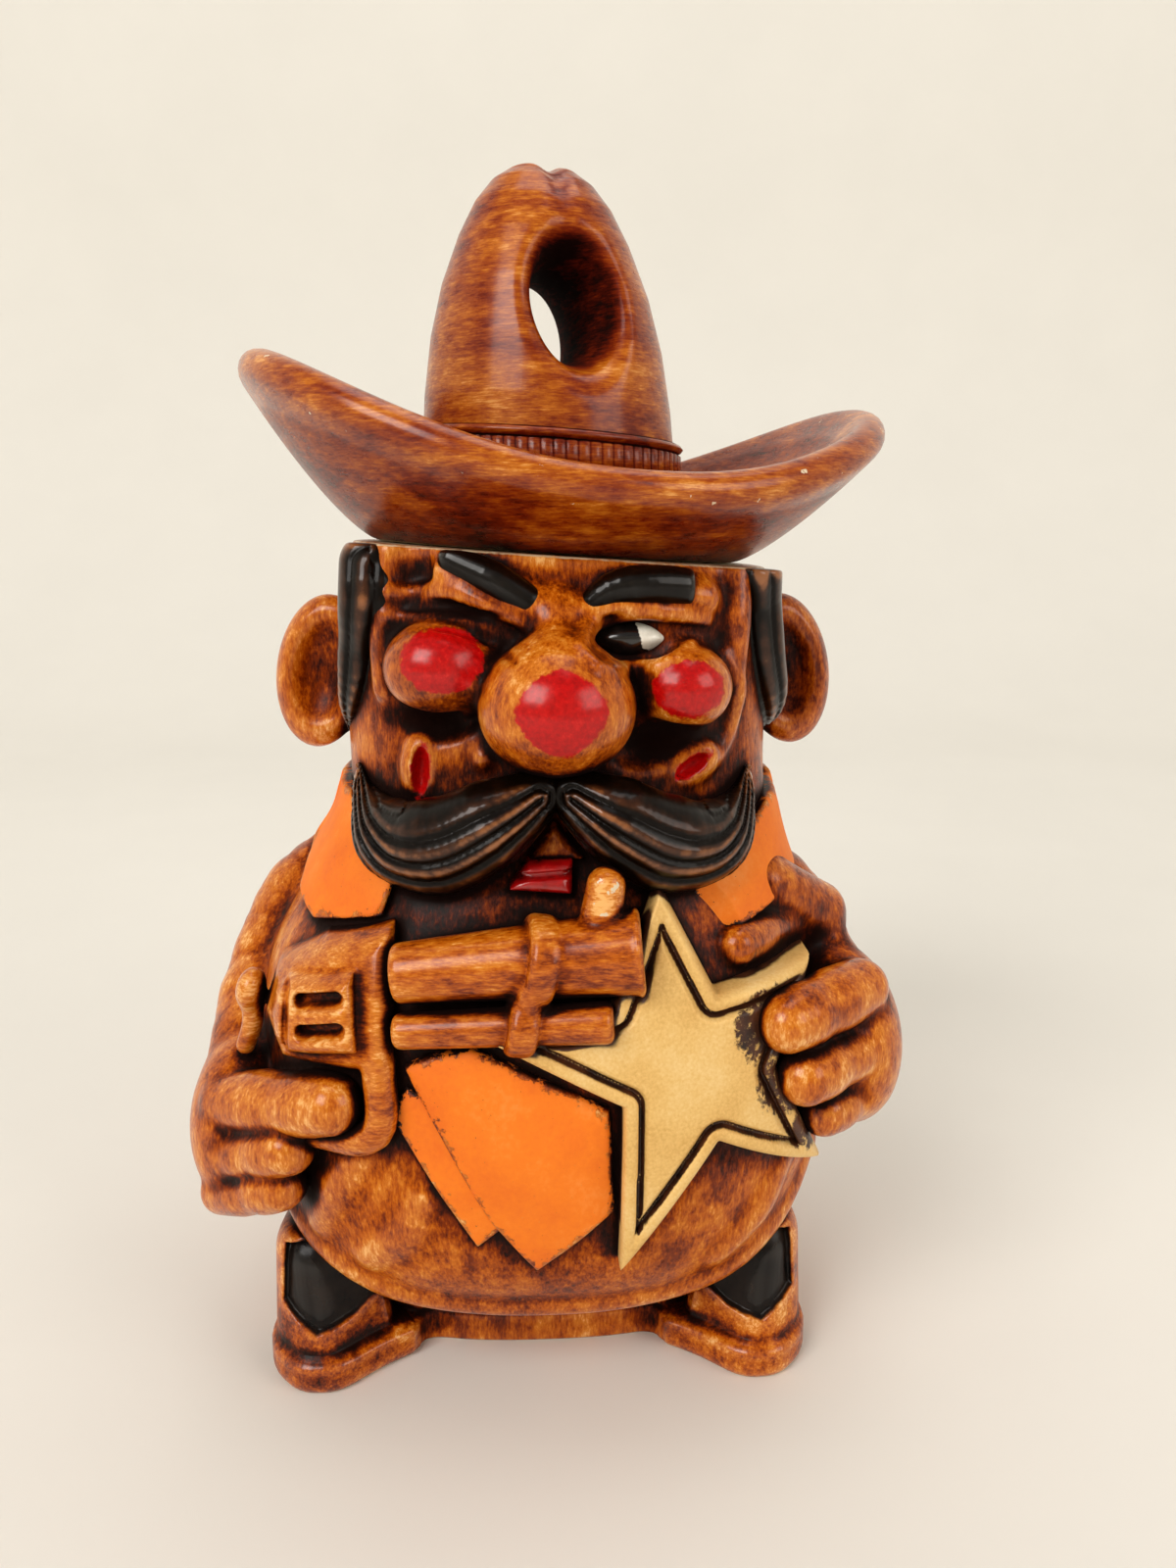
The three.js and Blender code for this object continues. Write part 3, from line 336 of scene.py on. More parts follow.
def in_slot(x, z, start, end, width):
    """How deep a point lies in a straight slot, from 0 to 1."""
    return np.clip(1.5 - to_line(x, z, start, end) / width, 0, 1)


def seat_distance(x, y, z):
    """How far a point lies above the hat's seat."""
    return (x - SEAT[0]) * SEAT_AXIS[0] + (z - SEAT[2]) * SEAT_AXIS[2]


def below_seat(clay, gap):
    """Trims clay that would touch the hat."""
    return clay.trim(seat_distance(*clay.axes()) + gap, SEAT_ROUND)


# ---------------------------------------------------------------- from clay to pieces
whole = Clay((-104, -104, -4), (104, 78, 232), CAST_STEP)  # all of the jar's clay, for the stain and the painted shade in its creases


def remember(clay):
    """Adds a piece to the whole, so that the stain and the painted shade know where pieces meet."""
    stride = round(CAST_STEP / clay.step)
    part = clay.field[::stride, ::stride, ::stride]
    first = np.round((clay.low - whole.low) / CAST_STEP).astype(int)
    window = tuple(slice(a, a + n) for a, n in zip(first, part.shape))
    whole.field[window] = np.minimum(whole.field[window], part)


def mesh_object(name, points, faces):
    """A smooth mesh of points in millimetres."""
    mesh = bpy.data.meshes.new(name)
    points = np.asarray(points, np.float32) * MM
    faces = np.asarray(faces, np.int32)
    mesh.vertices.add(len(points))
    mesh.vertices.foreach_set("co", points.ravel())
    mesh.loops.add(faces.size)
    mesh.loops.foreach_set("vertex_index", faces.ravel())
    mesh.polygons.add(len(faces))
    mesh.polygons.foreach_set("loop_start", np.arange(0, faces.size, faces.shape[1], dtype=np.int32))
    mesh.polygons.foreach_set("use_smooth", np.ones(len(faces), bool))
    mesh.update(calc_edges=True)
    obj = bpy.data.objects.new(name, mesh)
    bpy.context.scene.collection.objects.link(obj)
    return obj


def points_of(obj):
    points = np.empty(len(obj.data.vertices) * 3, np.float32)
    obj.data.vertices.foreach_get("co", points)
    return points.reshape(-1, 3).astype(float) / MM


def note(obj, name, values):
    """Keeps a number for each corner point, for the finish to read."""
    attribute = obj.data.attributes.new(name, "FLOAT", "POINT")
    attribute.data.foreach_set("value", np.asarray(values, np.float32))


AROUND = [np.array(d, float) / np.linalg.norm(d) for d in
          [(1, 0, 0), (-1, 0, 0), (0, 1, 0), (0, -1, 0), (0, 0, 1), (0, 0, -1)] +
          [(i, j, k) for i in (-1, 1) for j in (-1, 1) for k in (-1, 1)]]


def swell(clay, points, reach):
    """Above zero where clay stands out of its surroundings, below zero in hollows."""
    return sum(clay.at(points + reach * d) for d in AROUND) / (len(AROUND) * reach)


# dark ovals painted into the face's hollows: painted shade
HOLLOW_SHADE = (((-29.5, 181.2), (12.5, 5.6)), ((27.5, 175.4), (10.5, 6.4)),
        ((3, 167.5), (15, 4.5)), ((-21, 206.8), (13, 1.6)))  # middle and radii in x and z


def hollow_shade_on(points):
    """Painted shade in the hollows of the face: under the cheeks, under the nose and in the wink's crease."""
    x, y, z = points.T
    away = [np.hypot((x - at[0]) / radii[0], (z - at[1]) / radii[1]) for at, radii in HOLLOW_SHADE]
    return np.where(y < -44, np.clip(1.25 - np.min(away, axis=0), 0, 1), 0)


CREASE_REACH, SWELL_REACH, EDGE_REACH, SHADE_REACH = (1.8, 3.5), (3.0, 6.5), 2.4, 9.0


def note_creases(obj, normals, hollow_shade=0.0, worn=0.0):
    """Where the stain is dark and light: in creases, on what stands out and on edges. This is partly stain gathered
    and rubbed off, partly painted shade in creases and hollows and painted highlight on raised forms.
    """
    points = points_of(obj)
    shut = lambda reach: np.clip(1 - whole.at(points + reach * normals) / reach, 0, 1)
    # painted highlight on raised forms, painted shade in hollows and beside walls
    proud = sum(0.5 * swell(whole, points, reach) for reach in SWELL_REACH) - 0.13 * shut(SHADE_REACH)
    # darker in creases: gathered stain and painted shade
    note(obj, "crease", np.maximum(0.36 * sum(shut(reach) for reach in CREASE_REACH), hollow_shade))
    note(obj, "swell", np.clip(proud, -0.17, 0.03))
    note(obj, "edge", np.maximum(np.clip(swell(whole, points, EDGE_REACH), 0, 1), worn))


def place(obj, body, slot, finish, *nodes):
    """Gives a piece its finish and body, and hides the imported parts of the nodes that it stands for. The slot is
    not used.
    """
    obj.data.materials.append(finish)
    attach(obj, body)
    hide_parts(*nodes)
    return obj


# ---------------------------------------------------------------- face
NOSE, NOSE_RADII = on(2.5, 185.5, 6), (18.5, 20, 16.5)
RIGHT_CHEEK, RIGHT_CHEEK_RADII = on(-25, 194, 1), (13.5, 13, 11.5)
LEFT_CHEEK, LEFT_CHEEK_RADII = on(33, 189, 1), (12, 12.5, 10.5)
EAR_LEAN = 0.35


def touch(clay, x, z, proud=0.0):
    """The point where a line from the front meets the clay, moved out by proud."""
    y = np.arange(clay.low[1] + 1, 10, TOUCH_STEP)
    depth = clay.at(np.stack([np.full_like(y, x), y, np.full_like(y, z)], axis=1))
    hit = max(int(np.argmax(depth < 0)), 1)
    share = depth[hit - 1] / (depth[hit - 1] - depth[hit])
    return np.array([x, y[hit - 1] + TOUCH_STEP * share - proud, z])


def ridge(clay, line, radii, proud=-1.0, soft=2.0):
    """A soft fold of clay laid on the front along a line of x and z."""
    clay.join(roll([touch(clay, x, z, proud) for x, z in line], radii, 12), soft)


def score(clay, line, radii):
    """A groove drawn in the front along a line of x and z."""
    clay.cut(roll([touch(clay, x, z, 0.4) for x, z in line], radii, 12), 0.8)


def ear(clay, side):
    """A hollowed shell with a lobe, leaning back."""
    half = float(sections(186.5)[0])
    lean = turned_by(0, -0.18 * side, EAR_LEAN * side)
    x = HEAD_SHIFT + side * (half + 8.5)
    clay.join(ball((x, 4, 186.5), (14, 9, 22), lean), 4)
    clay.cut(ball((x - side * 0.5, -5.0, 187.5), (9.8, 8, 16), lean), 4)
    clay.join(ball((x - side * 10, -3, 182), (4, 5, 7)), 4)


def wink(clay):
    """The closed eye: folds and creases that run down to the root of the nose."""
    ridge(clay, [(-38, 206), (-33, 205.2), (-24, 206.3), (-14, 204), (-7, 200)], (1.2, 2.4, 3.0, 2.4, 1.0), -1.0)
    ridge(clay, [(-38, 211.5), (-30, 211), (-22, 212), (-12, 208.6), (-4, 204)], (1.2, 2.2, 2.8, 2.4, 1.0), -1.0)
    score(clay, [(-36.5, 209.3), (-32, 207.6), (-25, 208.7), (-14, 206.4), (-4.5, 200.8)], (0.7, 1.3, 1.5, 1.5, 0.8))
    score(clay, [(-26, 204), (-19, 202.9), (-12.5, 200.4), (-7, 197.3)], (0.6, 1.3, 1.3, 0.7))
    score(clay, [(-18, 213.2), (-10, 209.4), (-3, 205.2)], (0.5, 1.1, 0.6))


def eye_lids(clay):
    """The open eye's socket, its lids and the crease over them."""
    clay.cut(ball(touch(clay, 20, 200.6, 1.5), (12, 4.2, 6.8)), 2.0)
    ridge(clay, [(7.5, 200.5), (12, 205), (20, 207.4), (29, 206.8), (39, 204.6)],
          (1.2, 2.2, 2.5, 2.3, 1.2), -0.4, 1.6)
    ridge(clay, [(8.5, 199), (13, 195.2), (20, 193.8), (28, 195.2), (35, 199.5)],
          (1.2, 1.9, 2.1, 1.9, 1.0), -0.4, 1.6)
    score(clay, [(9, 207), (19, 210), (30, 209.6), (40, 207.5)], (0.5, 1.1, 1.1, 0.5))


RIGHT_DIMPLE, LEFT_DIMPLE = (-30.5, 168.8), (35.8, 169.5)


def dimple(clay, at, length, lean):
    """An almond slit with raised lips at an end of the mouth."""
    middle = touch(clay, *at)
    turn = turned_by(0, lean, 0)
    clay.join(ball(middle + (0, 1.6, 0), (5.2, 4.0, length + 2.6), turn), 2.5)
    clay.cut(ball(middle - (0, 2.6, 0), (2.0, 4.4, length), turn), 0.7)


def cheek_hollow(clay, at, radii, lean):
    clay.cut(ball(on(*at), radii, turned_by(0, lean, 0)), 3.0)


def face(clay):
    """Temples, brow, cheeks, nose, eyes, mouth corners and ears, from the top down."""
    clay.join(roll([on(-37, 221), on(-38.5, 205), on(-39.5, 188)], (4.2, 4.4, 2.5)), 4)
    clay.join(roll([on(47.5, 219), on(47, 203), on(47, 188)], (4, 4, 2.5)), 4)
    clay.join(roll([on(-24, 216), on(-12, 212), on(0, 207)], (3, 5, 5)), 4)
    clay.join(roll([on(8, 206), on(22, 211), on(38, 210)], (4, 5, 4)), 4)
    clay.cut(ball(on(-31.5, 216, 2.4), (5.5, 4, 6.5)), 2.5)
    clay.join(ball(RIGHT_CHEEK, RIGHT_CHEEK_RADII), 4)
    clay.join(ball(LEFT_CHEEK, LEFT_CHEEK_RADII), 4)
    clay.join(roll([on(3, 207, -1), on(3, 200, 3), on(2.5, 192, 9)], (5, 7, 11)), 4)
    clay.join(ball(NOSE, NOSE_RADII), 3)
    cheek_hollow(clay, (-28.5, 181.3, 2), (13, 5.5, 5.6), -0.1)
    cheek_hollow(clay, (27, 175.8, 2), (11, 5.5, 5.8), -0.25)
    ridge(clay, [(-13, 199), (-17, 191), (-18, 182), (-15, 172)], (1.5, 2.4, 2.6, 2), -0.8, 2.5)
    ridge(clay, [(44, 196), (47.5, 188), (46, 178), (42, 170)], (1.5, 2.2, 2.2, 1.5), -0.6, 2.5)
    eye_lids(clay)
    wink(clay)
    dimple(clay, RIGHT_DIMPLE, 6.2, 0.06)
    dimple(clay, LEFT_DIMPLE, 5.0, 0.95)
    clay.join(laid(((-5, 149), (1.5, 158), (9.5, 149)), lambda edge, x, z: 3.4 + 0 * edge, 2.5), 1.5)
    for side in (-1, 1):
        ear(clay, side)


# ---------------------------------------------------------------- arms and hands
FINGER_SHAPE, FINGER_STEPS = (0.94, 1, 1.04, 0.97, 1.03, 0.93), (0, 0.15, 0.4, 0.6, 0.82, 1)
# knuckle and tip as x, z and how far they stand proud, then the radius
GUN_FINGERS = (((-85, 80, 18), (-48, 93.5, 7.6), 8), ((-87.5, 65, 17), (-61, 78.8, 8.6), 7.3),
               ((-88, 53, 17), (-64.5, 66.4, 9.4), 6.8))
STAR_FINGERS = (((82.5, 111, 24), (53, 109.6, 12.5), 8), ((87, 96, 20), (58.5, 95, 13), 7.7),
                ((88, 82, 16), (66, 82, 11.4), 7.1))
THUMB = ((70, 125.5, 4), (44, 126, 1.6), 5.8)
CUFF = ((47, 141, -8), (58, 136.5, -1), (72, 125, 8))
COAT_FOLDS = ((((-44, 79), (-53, 66), (-59, 50)), (1.5, 3.6, 2)),
              (((-31, 66), (-36, 56), (-46, 45)), (1.2, 2.8, 1.6)),
              (((60, 66), (54, 54), (44, 43)), (1.5, 3.2, 2)))
SLEEVE_RADII = (9, 15, 17, 14)
RIGHT_ARM = ((-52, 12, 136), (-69, 4, 119), (-76, -10, 97), (-79, -34, 80))
LEFT_ARM = ((54, 12, 135), (69, 4, 117), (76, -12, 100), (79, -36, 91))


def finger(clay, knuckle, tip, radius):
    """A finger with soft joints, from knuckle to tip."""
    start, end = on(*knuckle), on(*tip)
    along = (end - start) / np.linalg.norm(end - start)
    start, end = start + 0.4 * radius * along, end - 0.7 * radius * along
    line = [start + (end - start) * t for t in FINGER_STEPS]
    clay.join(roll(line, [s * radius for s in FINGER_SHAPE], 14), 1.3)


def sleeve_folds(angle, share):
    """Soft folds round the sleeve, strongest at the elbow."""
    lean = share * 34 + 1.4 * np.sin(angle * 2 + 0.6) + 0.7 * np.sin(angle * 3 - share * 9)
    return 0.018 * np.exp(-((share - 0.55) / 0.3) ** 2) * (1 + np.sin(lean))


def arms(clay):
    """Sleeves, fists, the cuff, all fingers and the folds of the coat."""
    clay.join(roll(RIGHT_ARM, SLEEVE_RADII, 14, sleeve_folds), 4)
    clay.join(roll(LEFT_ARM, SLEEVE_RADII, 14, sleeve_folds), 4)
    clay.join(ball((-80.2, -38, 70), (15.6, 21, 25), turned_by(0.1, 0.05)), 2)
    clay.join(ball((78.5, -43, 94), (16, 21, 25), turned_by(0, -0.15)), 2)
    clay.join(roll([on(*p) for p in CUFF], (4.5, 7, 9), 10), 8)
    for hand in (GUN_FINGERS, STAR_FINGERS):
        for spot in hand:
            finger(clay, *spot)
    finger(clay, *THUMB)
    for line, radii in COAT_FOLDS:
        ridge(clay, line, radii, -2.2, 6.0)


# ---------------------------------------------------------------- jar casting
HEM = ((-73, 58), (-67, 47), (-57, 39.5), (-40, 32), (-14, 28), (16, 28), (42, 32), (56, 39.5), (66, 48), (72, 60))
HEM_RADII = (1.2, 2.2, 2.8, 3, 3, 3, 3, 2.8, 2.2, 1.2)


def apron(clay):
    """Lets the plinth flow into the soles of the boots on both sides."""
    window = clay.window((-84, -70, -4), (84, -4, 12), 0)
    x, y, z = clay.axes(window)
    for side in (-1, 1):
        sole = from_edge(boot_ring(4.0, side), x, y) + 0.5
        plate = np.maximum(sole, z - SOLE + 0.4)
        clay.field[window] = soft_union(clay.field[window], plate.astype(np.float32), 9)


def jar_clay():
    """The casting: vessel, hem, face, arms and plinth, flat below and at the rim."""
    clay = Clay(whole.low + 0.01, (104, 78, 232), CAST_STEP)
    clay.field = vessel(*clay.axes()).astype(np.float32)
    clay.even()
    clay.join(roll([on(x, z, -1.5) for x, z in HEM], HEM_RADII, 30), 6)
    face(clay)
    arms(clay)
    apron(clay)
    plinth_groove = lambda x, y, z: 0.9 * np.exp(-((z - 9.5) / 0.9) ** 2) * (y < -20)
    clay.field += plinth_groove(*clay.axes()).astype(np.float32)
    return below_seat(clay, 0.05).trim(-clay.axes()[2], FOOT_ROUND)


def ring_skin(low, high, inset, rings, sides):
    """The vessel's inside from the floor to the head, as a closed skin."""
    angle = np.linspace(0, 2 * math.pi, sides, endpoint=False)
    rounded = lambda c: np.sign(c) * np.abs(c) ** (2 / POWER)
    points = []
    for z in np.linspace(low, high, rings):
        half, front, rear, shift = (float(v) for v in sections(z))
        c, s = rounded(np.cos(angle)), rounded(np.sin(angle))
        deep = np.where(s < 0, front, rear) - inset
        points.append(np.stack([c * (half - inset) + shift, s * deep, np.full(sides, z)], axis=1))
    return np.array(points)


def closed_rings(rings):
    """Faces of a closed skin over rings of points, with a hub at each end."""
    count, sides = rings.shape[:2]
    points = np.vstack([rings.reshape(-1, 3), rings[0].mean(axis=0), rings[-1].mean(axis=0)])
    faces = []
    for i in range(count - 1):
        for j in range(sides):
            a, b = i * sides + j, i * sides + (j + 1) % sides
            faces += [(a, b, b + sides), (a, b + sides, a + sides)]
    for ring, hub, flip in ((0, count * sides, True), (count - 1, count * sides + 1, False)):
        for j in range(sides):
            a, b = ring * sides + j, ring * sides + (j + 1) % sides
            faces.append((hub, b, a) if flip else (hub, a, b))
    return points, np.array(faces)


def hollowed(obj):
    """Takes the cookie space and the round mouth out of the casting."""
    space = mesh_object("space", *closed_rings(ring_skin(FLOOR_THICK, RIM_HEIGHT - MOUTH_DEPTH, WALL, 40, 96)))
    side = np.array([math.cos(SEAT_TILT), 0, -math.sin(SEAT_TILT)])
    angle = np.linspace(0, 2 * math.pi, 128, endpoint=False)
    circle = np.outer(np.cos(angle), side) + np.outer(np.sin(angle), (0, 1, 0))
    levels = ((-MOUTH_DEPTH - 2, 0), (-1.2, 0), (-0.3, 0.4), (0.05, 1.2), (6, 1.2))  # height, and how much wider
    mouth = np.array([SEAT + h * SEAT_AXIS + (MOUTH_RADIUS + wider) * circle for h, wider in levels])
    bore = mesh_object("bore", *closed_rings(mouth))
    for tool in (space, bore):
        cutter = obj.modifiers.new(tool.name, "BOOLEAN")
        cutter.object, cutter.operation, cutter.solver = tool, "DIFFERENCE", "MANIFOLD"
    done = bpy.data.meshes.new_from_object(obj.evaluated_get(bpy.context.evaluated_depsgraph_get()))
    obj.modifiers.clear()
    obj.data = done
    done.materials.clear()
    done.polygons.foreach_set("use_smooth", np.ones(len(done.polygons), bool))
    for tool in (space, bore):
        bpy.data.objects.remove(tool)
    return obj


# ---------------------------------------------------------------- applied pieces
def piece_clay(form):
    """A form as a block of clay of its own."""
    _, low, high = form
    return Clay(np.array(low) - PIECE_ROOM, np.array(high) + PIECE_ROOM, FINE_STEP).join(form)


def across(line, radii, x, z):
    """How far above a curve a point lies, in radii of the bar along it, seen from the front."""
    dense = curve(line, STRAND_STEPS)[:, ::2]
    thick = np.interp(np.linspace(0, 1, STRAND_STEPS), np.linspace(0, 1, len(radii)), radii)
    nearest, share = np.full(np.broadcast_shapes(x.shape, z.shape), FAR, np.float32), 0
    for start, end, radius in zip(dense, dense[1:], thick):
        away = to_line(x, z, start, end)
        ex, ez = end - start
        above = np.sign(ex * (z - start[1]) - ez * (x - start[0])) * np.sign(ex)
        nearer = away < nearest
        share = np.where(nearer, above * away / radius, share)
        nearest = np.where(nearer, away, nearest)
    return share


# how far out from the middle of the lip, how high and how far proud
MOUSTACHE = ((4, 166, 9), (14, 160, 10), (27, 153, 7), (39, 152.5, 4.5), (47, 159.5, 3), (50, 166.5, 1.5))
MOUSTACHE_MIDDLE, MOUSTACHE_RADII = 2, (6, 10.8, 12.2, 10, 5, 1)


def moustache(side):
    """One half of the moustache, combed into strands that run along it."""
    line = [on(MOUSTACHE_MIDDLE + side * out, z, proud) for out, z, proud in MOUSTACHE]
    clay = piece_clay(roll(line, MOUSTACHE_RADII, 40))
    x, _, z = clay.axes()
    share = across(line, MOUSTACHE_RADII, x, z)
    strand = np.abs(np.sin(4.1 * math.pi / 2 * (share + 0.12 * np.sin(2.2 * share + 1))))
    clay.field += (1.3 * (1 - strand ** 0.75)).astype(np.float32) * np.clip(1.1 - np.abs(share), 0, 1) ** 0.5
    return clay


def brow(line, radii, end):
    """A thick eyebrow on the forehead, cut square at its outer end."""
    clay = piece_clay(roll([on(*p) for p in line], radii, 12))
    if end:
        clay.trim(clay.axes()[0] - end, 1.6)
    return below_seat(clay, SLIP)


RIGHT_BROW = ((-21.5, 219, 0.8), (-12.5, 214.8, 1.8), (-4, 209.4, 1))
LEFT_BROW = ((11.5, 209.4, 0.8), (16, 212.4, 1.6), (24, 213.4, 1.8), (37, 212.4, 1.2))
EYE, EYE_ROUND = (19.8, 200.6), (12.4, 6.4, 12.4)


def open_eye(clay):
    """An almond between two rounds, bulging from its socket."""
    middle = touch(clay, *EYE, -1.0)
    lens = Clay(middle - (14, 9, 9), middle + (14, 9, 9), FINE_STEP)
    lower, upper = (ball(middle + (0, 0, up), EYE_ROUND)[0](*lens.axes()) for up in (-7.9, 7.9))
    lens.field = soft_both(lower, upper, 0.8).astype(np.float32)
    return lens


RIGHT_SIDEBURN = ((-41.6, 217.5), (-42, 209), (-43.8, 198), (-46.8, 186), (-51.4, 174.5))
LEFT_SIDEBURN = ((51.4, 215), (52.6, 207), (54.8, 194), (58.6, 182), (62.6, 172.5))
SIDEBURN_RADII, SIDEBURN_SUNK = (8.6, 8.4, 7.8, 5.8, 1.8), 5.2


def sideburn(clay, line):
    """A lock of hair in front of the ear, with grooves along it."""
    spine = [touch(clay, x, z, -SIDEBURN_SUNK) for x, z in line]
    lock = piece_clay(roll(spine, SIDEBURN_RADII, 20))
    x, _, z = lock.axes()
    share = across(spine, SIDEBURN_RADII, x, z)
    strand = np.abs(np.sin(1.5 * math.pi * share + 0.7))
    lock.field += (0.9 * (1 - strand ** 0.7)).astype(np.float32)
    return below_seat(lock, SLIP)


LIP = ((-9.2, 143.4), (-5, 149.6), (6, 149.8), (5.6, 142.4))


def lip():
    """The mouth: a small slanted pad with a groove along it."""
    def height(edge, x, z):
        line = in_slot(x, z, (-8, 146.4), (5.6, 147.2), 0.7)
        return 5.2 + 0.8 * np.clip(-edge / 2.5, 0, 1) - 1.1 * line
    return piece_clay(laid(LIP, height, 1.6, 4))


CLOTH_EDGE = 1.6
RIGHT_COLLAR = ((-64, 160.5), (-50, 160), (-37, 143), (-40, 135), (-59, 130), (-66, 133))
LEFT_COLLAR = ((52, 153), (58, 157), (70, 158), (70, 136), (62, 135), (38.5, 128), (34, 138.5))
POINT_OVER = ((-34.5, 102), (-28, 105.2), (-18.5, 107.4), (-11, 104),
              (14, 91.6), (15.4, 65), (-3.5, 47.2), (-15, 63))
POINT_UNDER = ((-38.4, 90), (-34, 97), (-26, 93), (-9.5, 62), (-18, 54.6))


def cloth_form(outline, thick, full):
    """A flap of the neckerchief, fuller in its middle and gently draped."""
    def height(edge, x, z):
        drape = 0.25 * np.sin(0.19 * x + 0.11 * z) + 0.2 * np.sin(0.07 * x - 0.23 * z + 1)
        return thick + full * np.clip(-edge / 12, 0, 1) + drape
    return laid(outline, height, CLOTH_EDGE)


def cloth(outline, thick, full=0.8):
    return piece_clay(cloth_form(outline, thick, full))


def neck_band(y):
    """Foot and top of the neckerchief where it runs round the side and back of the neck."""
    back = np.clip(y / 45, 0, 1)
    return 135 + 4 * back, 158.5 - 3 * back


def collar(outline, side):
    """Half of the neckerchief: a flap in front, and a band to the middle of the back."""
    def distance(x, y, z):
        skin = vessel(x, y, z)
        foot, top = neck_band(y)
        fold = 0.45 * np.sin(0.5 * z + 0.06 * y) + 0.3 * np.sin(0.12 * y + 1)
        band = soft_both(skin - 2.7 - fold, np.maximum(foot - z, z - top) + 0 * skin, CLOTH_EDGE)
        ends = np.maximum(-4 - y, -side * (x - HEAD_SHIFT)) + 0 * skin
        return np.maximum(np.maximum(band, -skin - 2.5), ends)

    reach = np.array([(HEAD_SHIFT, -62, 124), (HEAD_SHIFT + 72 * side, 66, 166)], float)
    clay = Clay(reach.min(axis=0), reach.max(axis=0), FINE_STEP)
    clay.field[:] = distance(*clay.axes())
    return clay.join(cloth_form(outline, 2.8, 0.8), 4.0)


# ---------------------------------------------------------------- star
STAR_MIDDLE = (32, 104)
STAR_TIPS = ((-6, 40.5), (-45.8, 6.5), (-15.5, -54.5), (38.5, -37), (34.5, 17.5))
STAR_NOTCHES = ((-17.5, 13.5), (-15, -9.5), (8, -20.5), (23, -5.5), (7.5, 14.5))
STAR = [(STAR_MIDDLE[0] + x, STAR_MIDDLE[1] + z) for pair in zip(STAR_TIPS, STAR_NOTCHES) for x, z in pair]
BORDER, GROOVE = 3.6, 2.0


def star_relief(edge, x, z):
    """A rounded border, a groove inside it and a full, bare field."""
    inward = -edge
    border = 8 - 1.4 * (1 - np.sqrt(np.clip(1 - ((inward - BORDER / 2) / (BORDER / 2)) ** 2, 0, 1)))
    field = 5.2 + 2.2 * np.clip((inward - BORDER - GROOVE * 0.4) / 1.6, 0, 1) ** 0.6
    return np.where(inward < BORDER, border, field)


# ---------------------------------------------------------------- revolver
BARREL = (on(-36.5, 124.9, 7.3), on(21.5, 130.6, 8.8))
EJECTOR = (on(-36.5, 111.9, 6.2), on(14.7, 115.4, 8.4))
FRAME = ((-68.5, 119), (-54, 129.2), (-36.5, 134.6), (-37, 101.6), (-66, 98.8), (-72, 108.5))
DRUM = ((-68, 111.4), (-66.6, 116.8), (-62.5, 120.6), (-45.6, 124.8), (-44.8, 106.8), (-63, 103.2), (-67, 106.2))
SIGHT_FOOT = BARREL[1] + (-9.5, 1, 7.2)
DRUM_SLOTS = ((3.2, (-58.3, 109.9), (-49.4, 112.2), 1.5), (3.2, (-58.8, 116.7), (-49.6, 119), 1.5),
              (1.3, (-63.2, 104.6), (-62.8, 119), 0.8))  # depth, both ends and width


def rounded_plate(thick, edge_round):
    """Height of a plate with a rounded edge."""
    def height(edge, x, z):
        rim = np.clip(1 + edge / edge_round, 0, 1)
        return thick - edge_round * 0.55 * rim * rim
    return height


def drum_relief(edge, x, z):
    """The cylinder: a rounded pad with two slots across it and a rim at its rear end."""
    pad = rounded_plate(11.2, 4.5)(edge, x, z)
    return pad - np.max([deep * in_slot(x, z, *ends) for deep, *ends in DRUM_SLOTS], axis=0)


def band_round_barrels(clay):
    """The strap that holds both tubes together."""
    share = (-4 + 36) / 55
    top = BARREL[0] + (BARREL[1] - BARREL[0]) * share
    foot = EJECTOR[0] + (EJECTOR[1] - EJECTOR[0]) * share
    ends = (np.array([-3.5, -0.5, 0.6]), np.array([3.5, 0.5, -0.6]))
    clay.join(bar(top + ends[0], top + ends[1], 11.0, 11.0), 0.8)
    clay.join(bar(foot + ends[0], foot + ends[1], 7.2, 7.2), 0.8)
    middle = (top + foot) / 2 + (0, 0.5, 0)
    clay.join(ball(middle, (4.2, 8.2, 9)), 1.5)


def revolver():
    """Barrel, ejector tube, strap, frame, cylinder, sight, hammer and guard as one piece."""
    low, high = np.array((-88, -102, 76)), np.array((28, -20, 158))
    clay = Clay(low, high, FINE_STEP)
    clay.join(bar(*BARREL, 7.0, 10.0))
    clay.join(bar(BARREL[1] - (BARREL[1] - BARREL[0]) * 0.03, BARREL[1], 10.6, 10.8), 0.8)
    clay.join(bar(*EJECTOR, 4.2, 5.0), 0.8)
    band_round_barrels(clay)
    clay.join(laid(FRAME, rounded_plate(7.2, 5), 2.5), 1.2)
    clay.join(laid(DRUM, drum_relief, 1.8), 1.0)
    sight = [SIGHT_FOOT + up for up in ((-1.2, 0, -6), (0.2, 0.5, 2), (1.2, 1, 8.4))]
    clay.join(roll(sight, (5.2, 4.9, 4.5), 8), 1.0)
    clay.join(ball((-75.2, -50, 112.5), (3.6, 5, 5.2), turned_by(0, 0.25)), 1.5)
    clay.join(roll([(-75.4, -49.5, 110), (-75.6, -49, 103), (-78, -48, 96)], (2.8, 2.6, 2.4), 8), 2.5)
    guard = [on(-40.5, 102, 3.5), on(-40, 89.5, 4), on(-44.5, 84, 4), on(-57, 81.3, 3)]
    clay.join(roll(guard, (4, 4, 4, 3.5), 14), 1.5)
    return clay


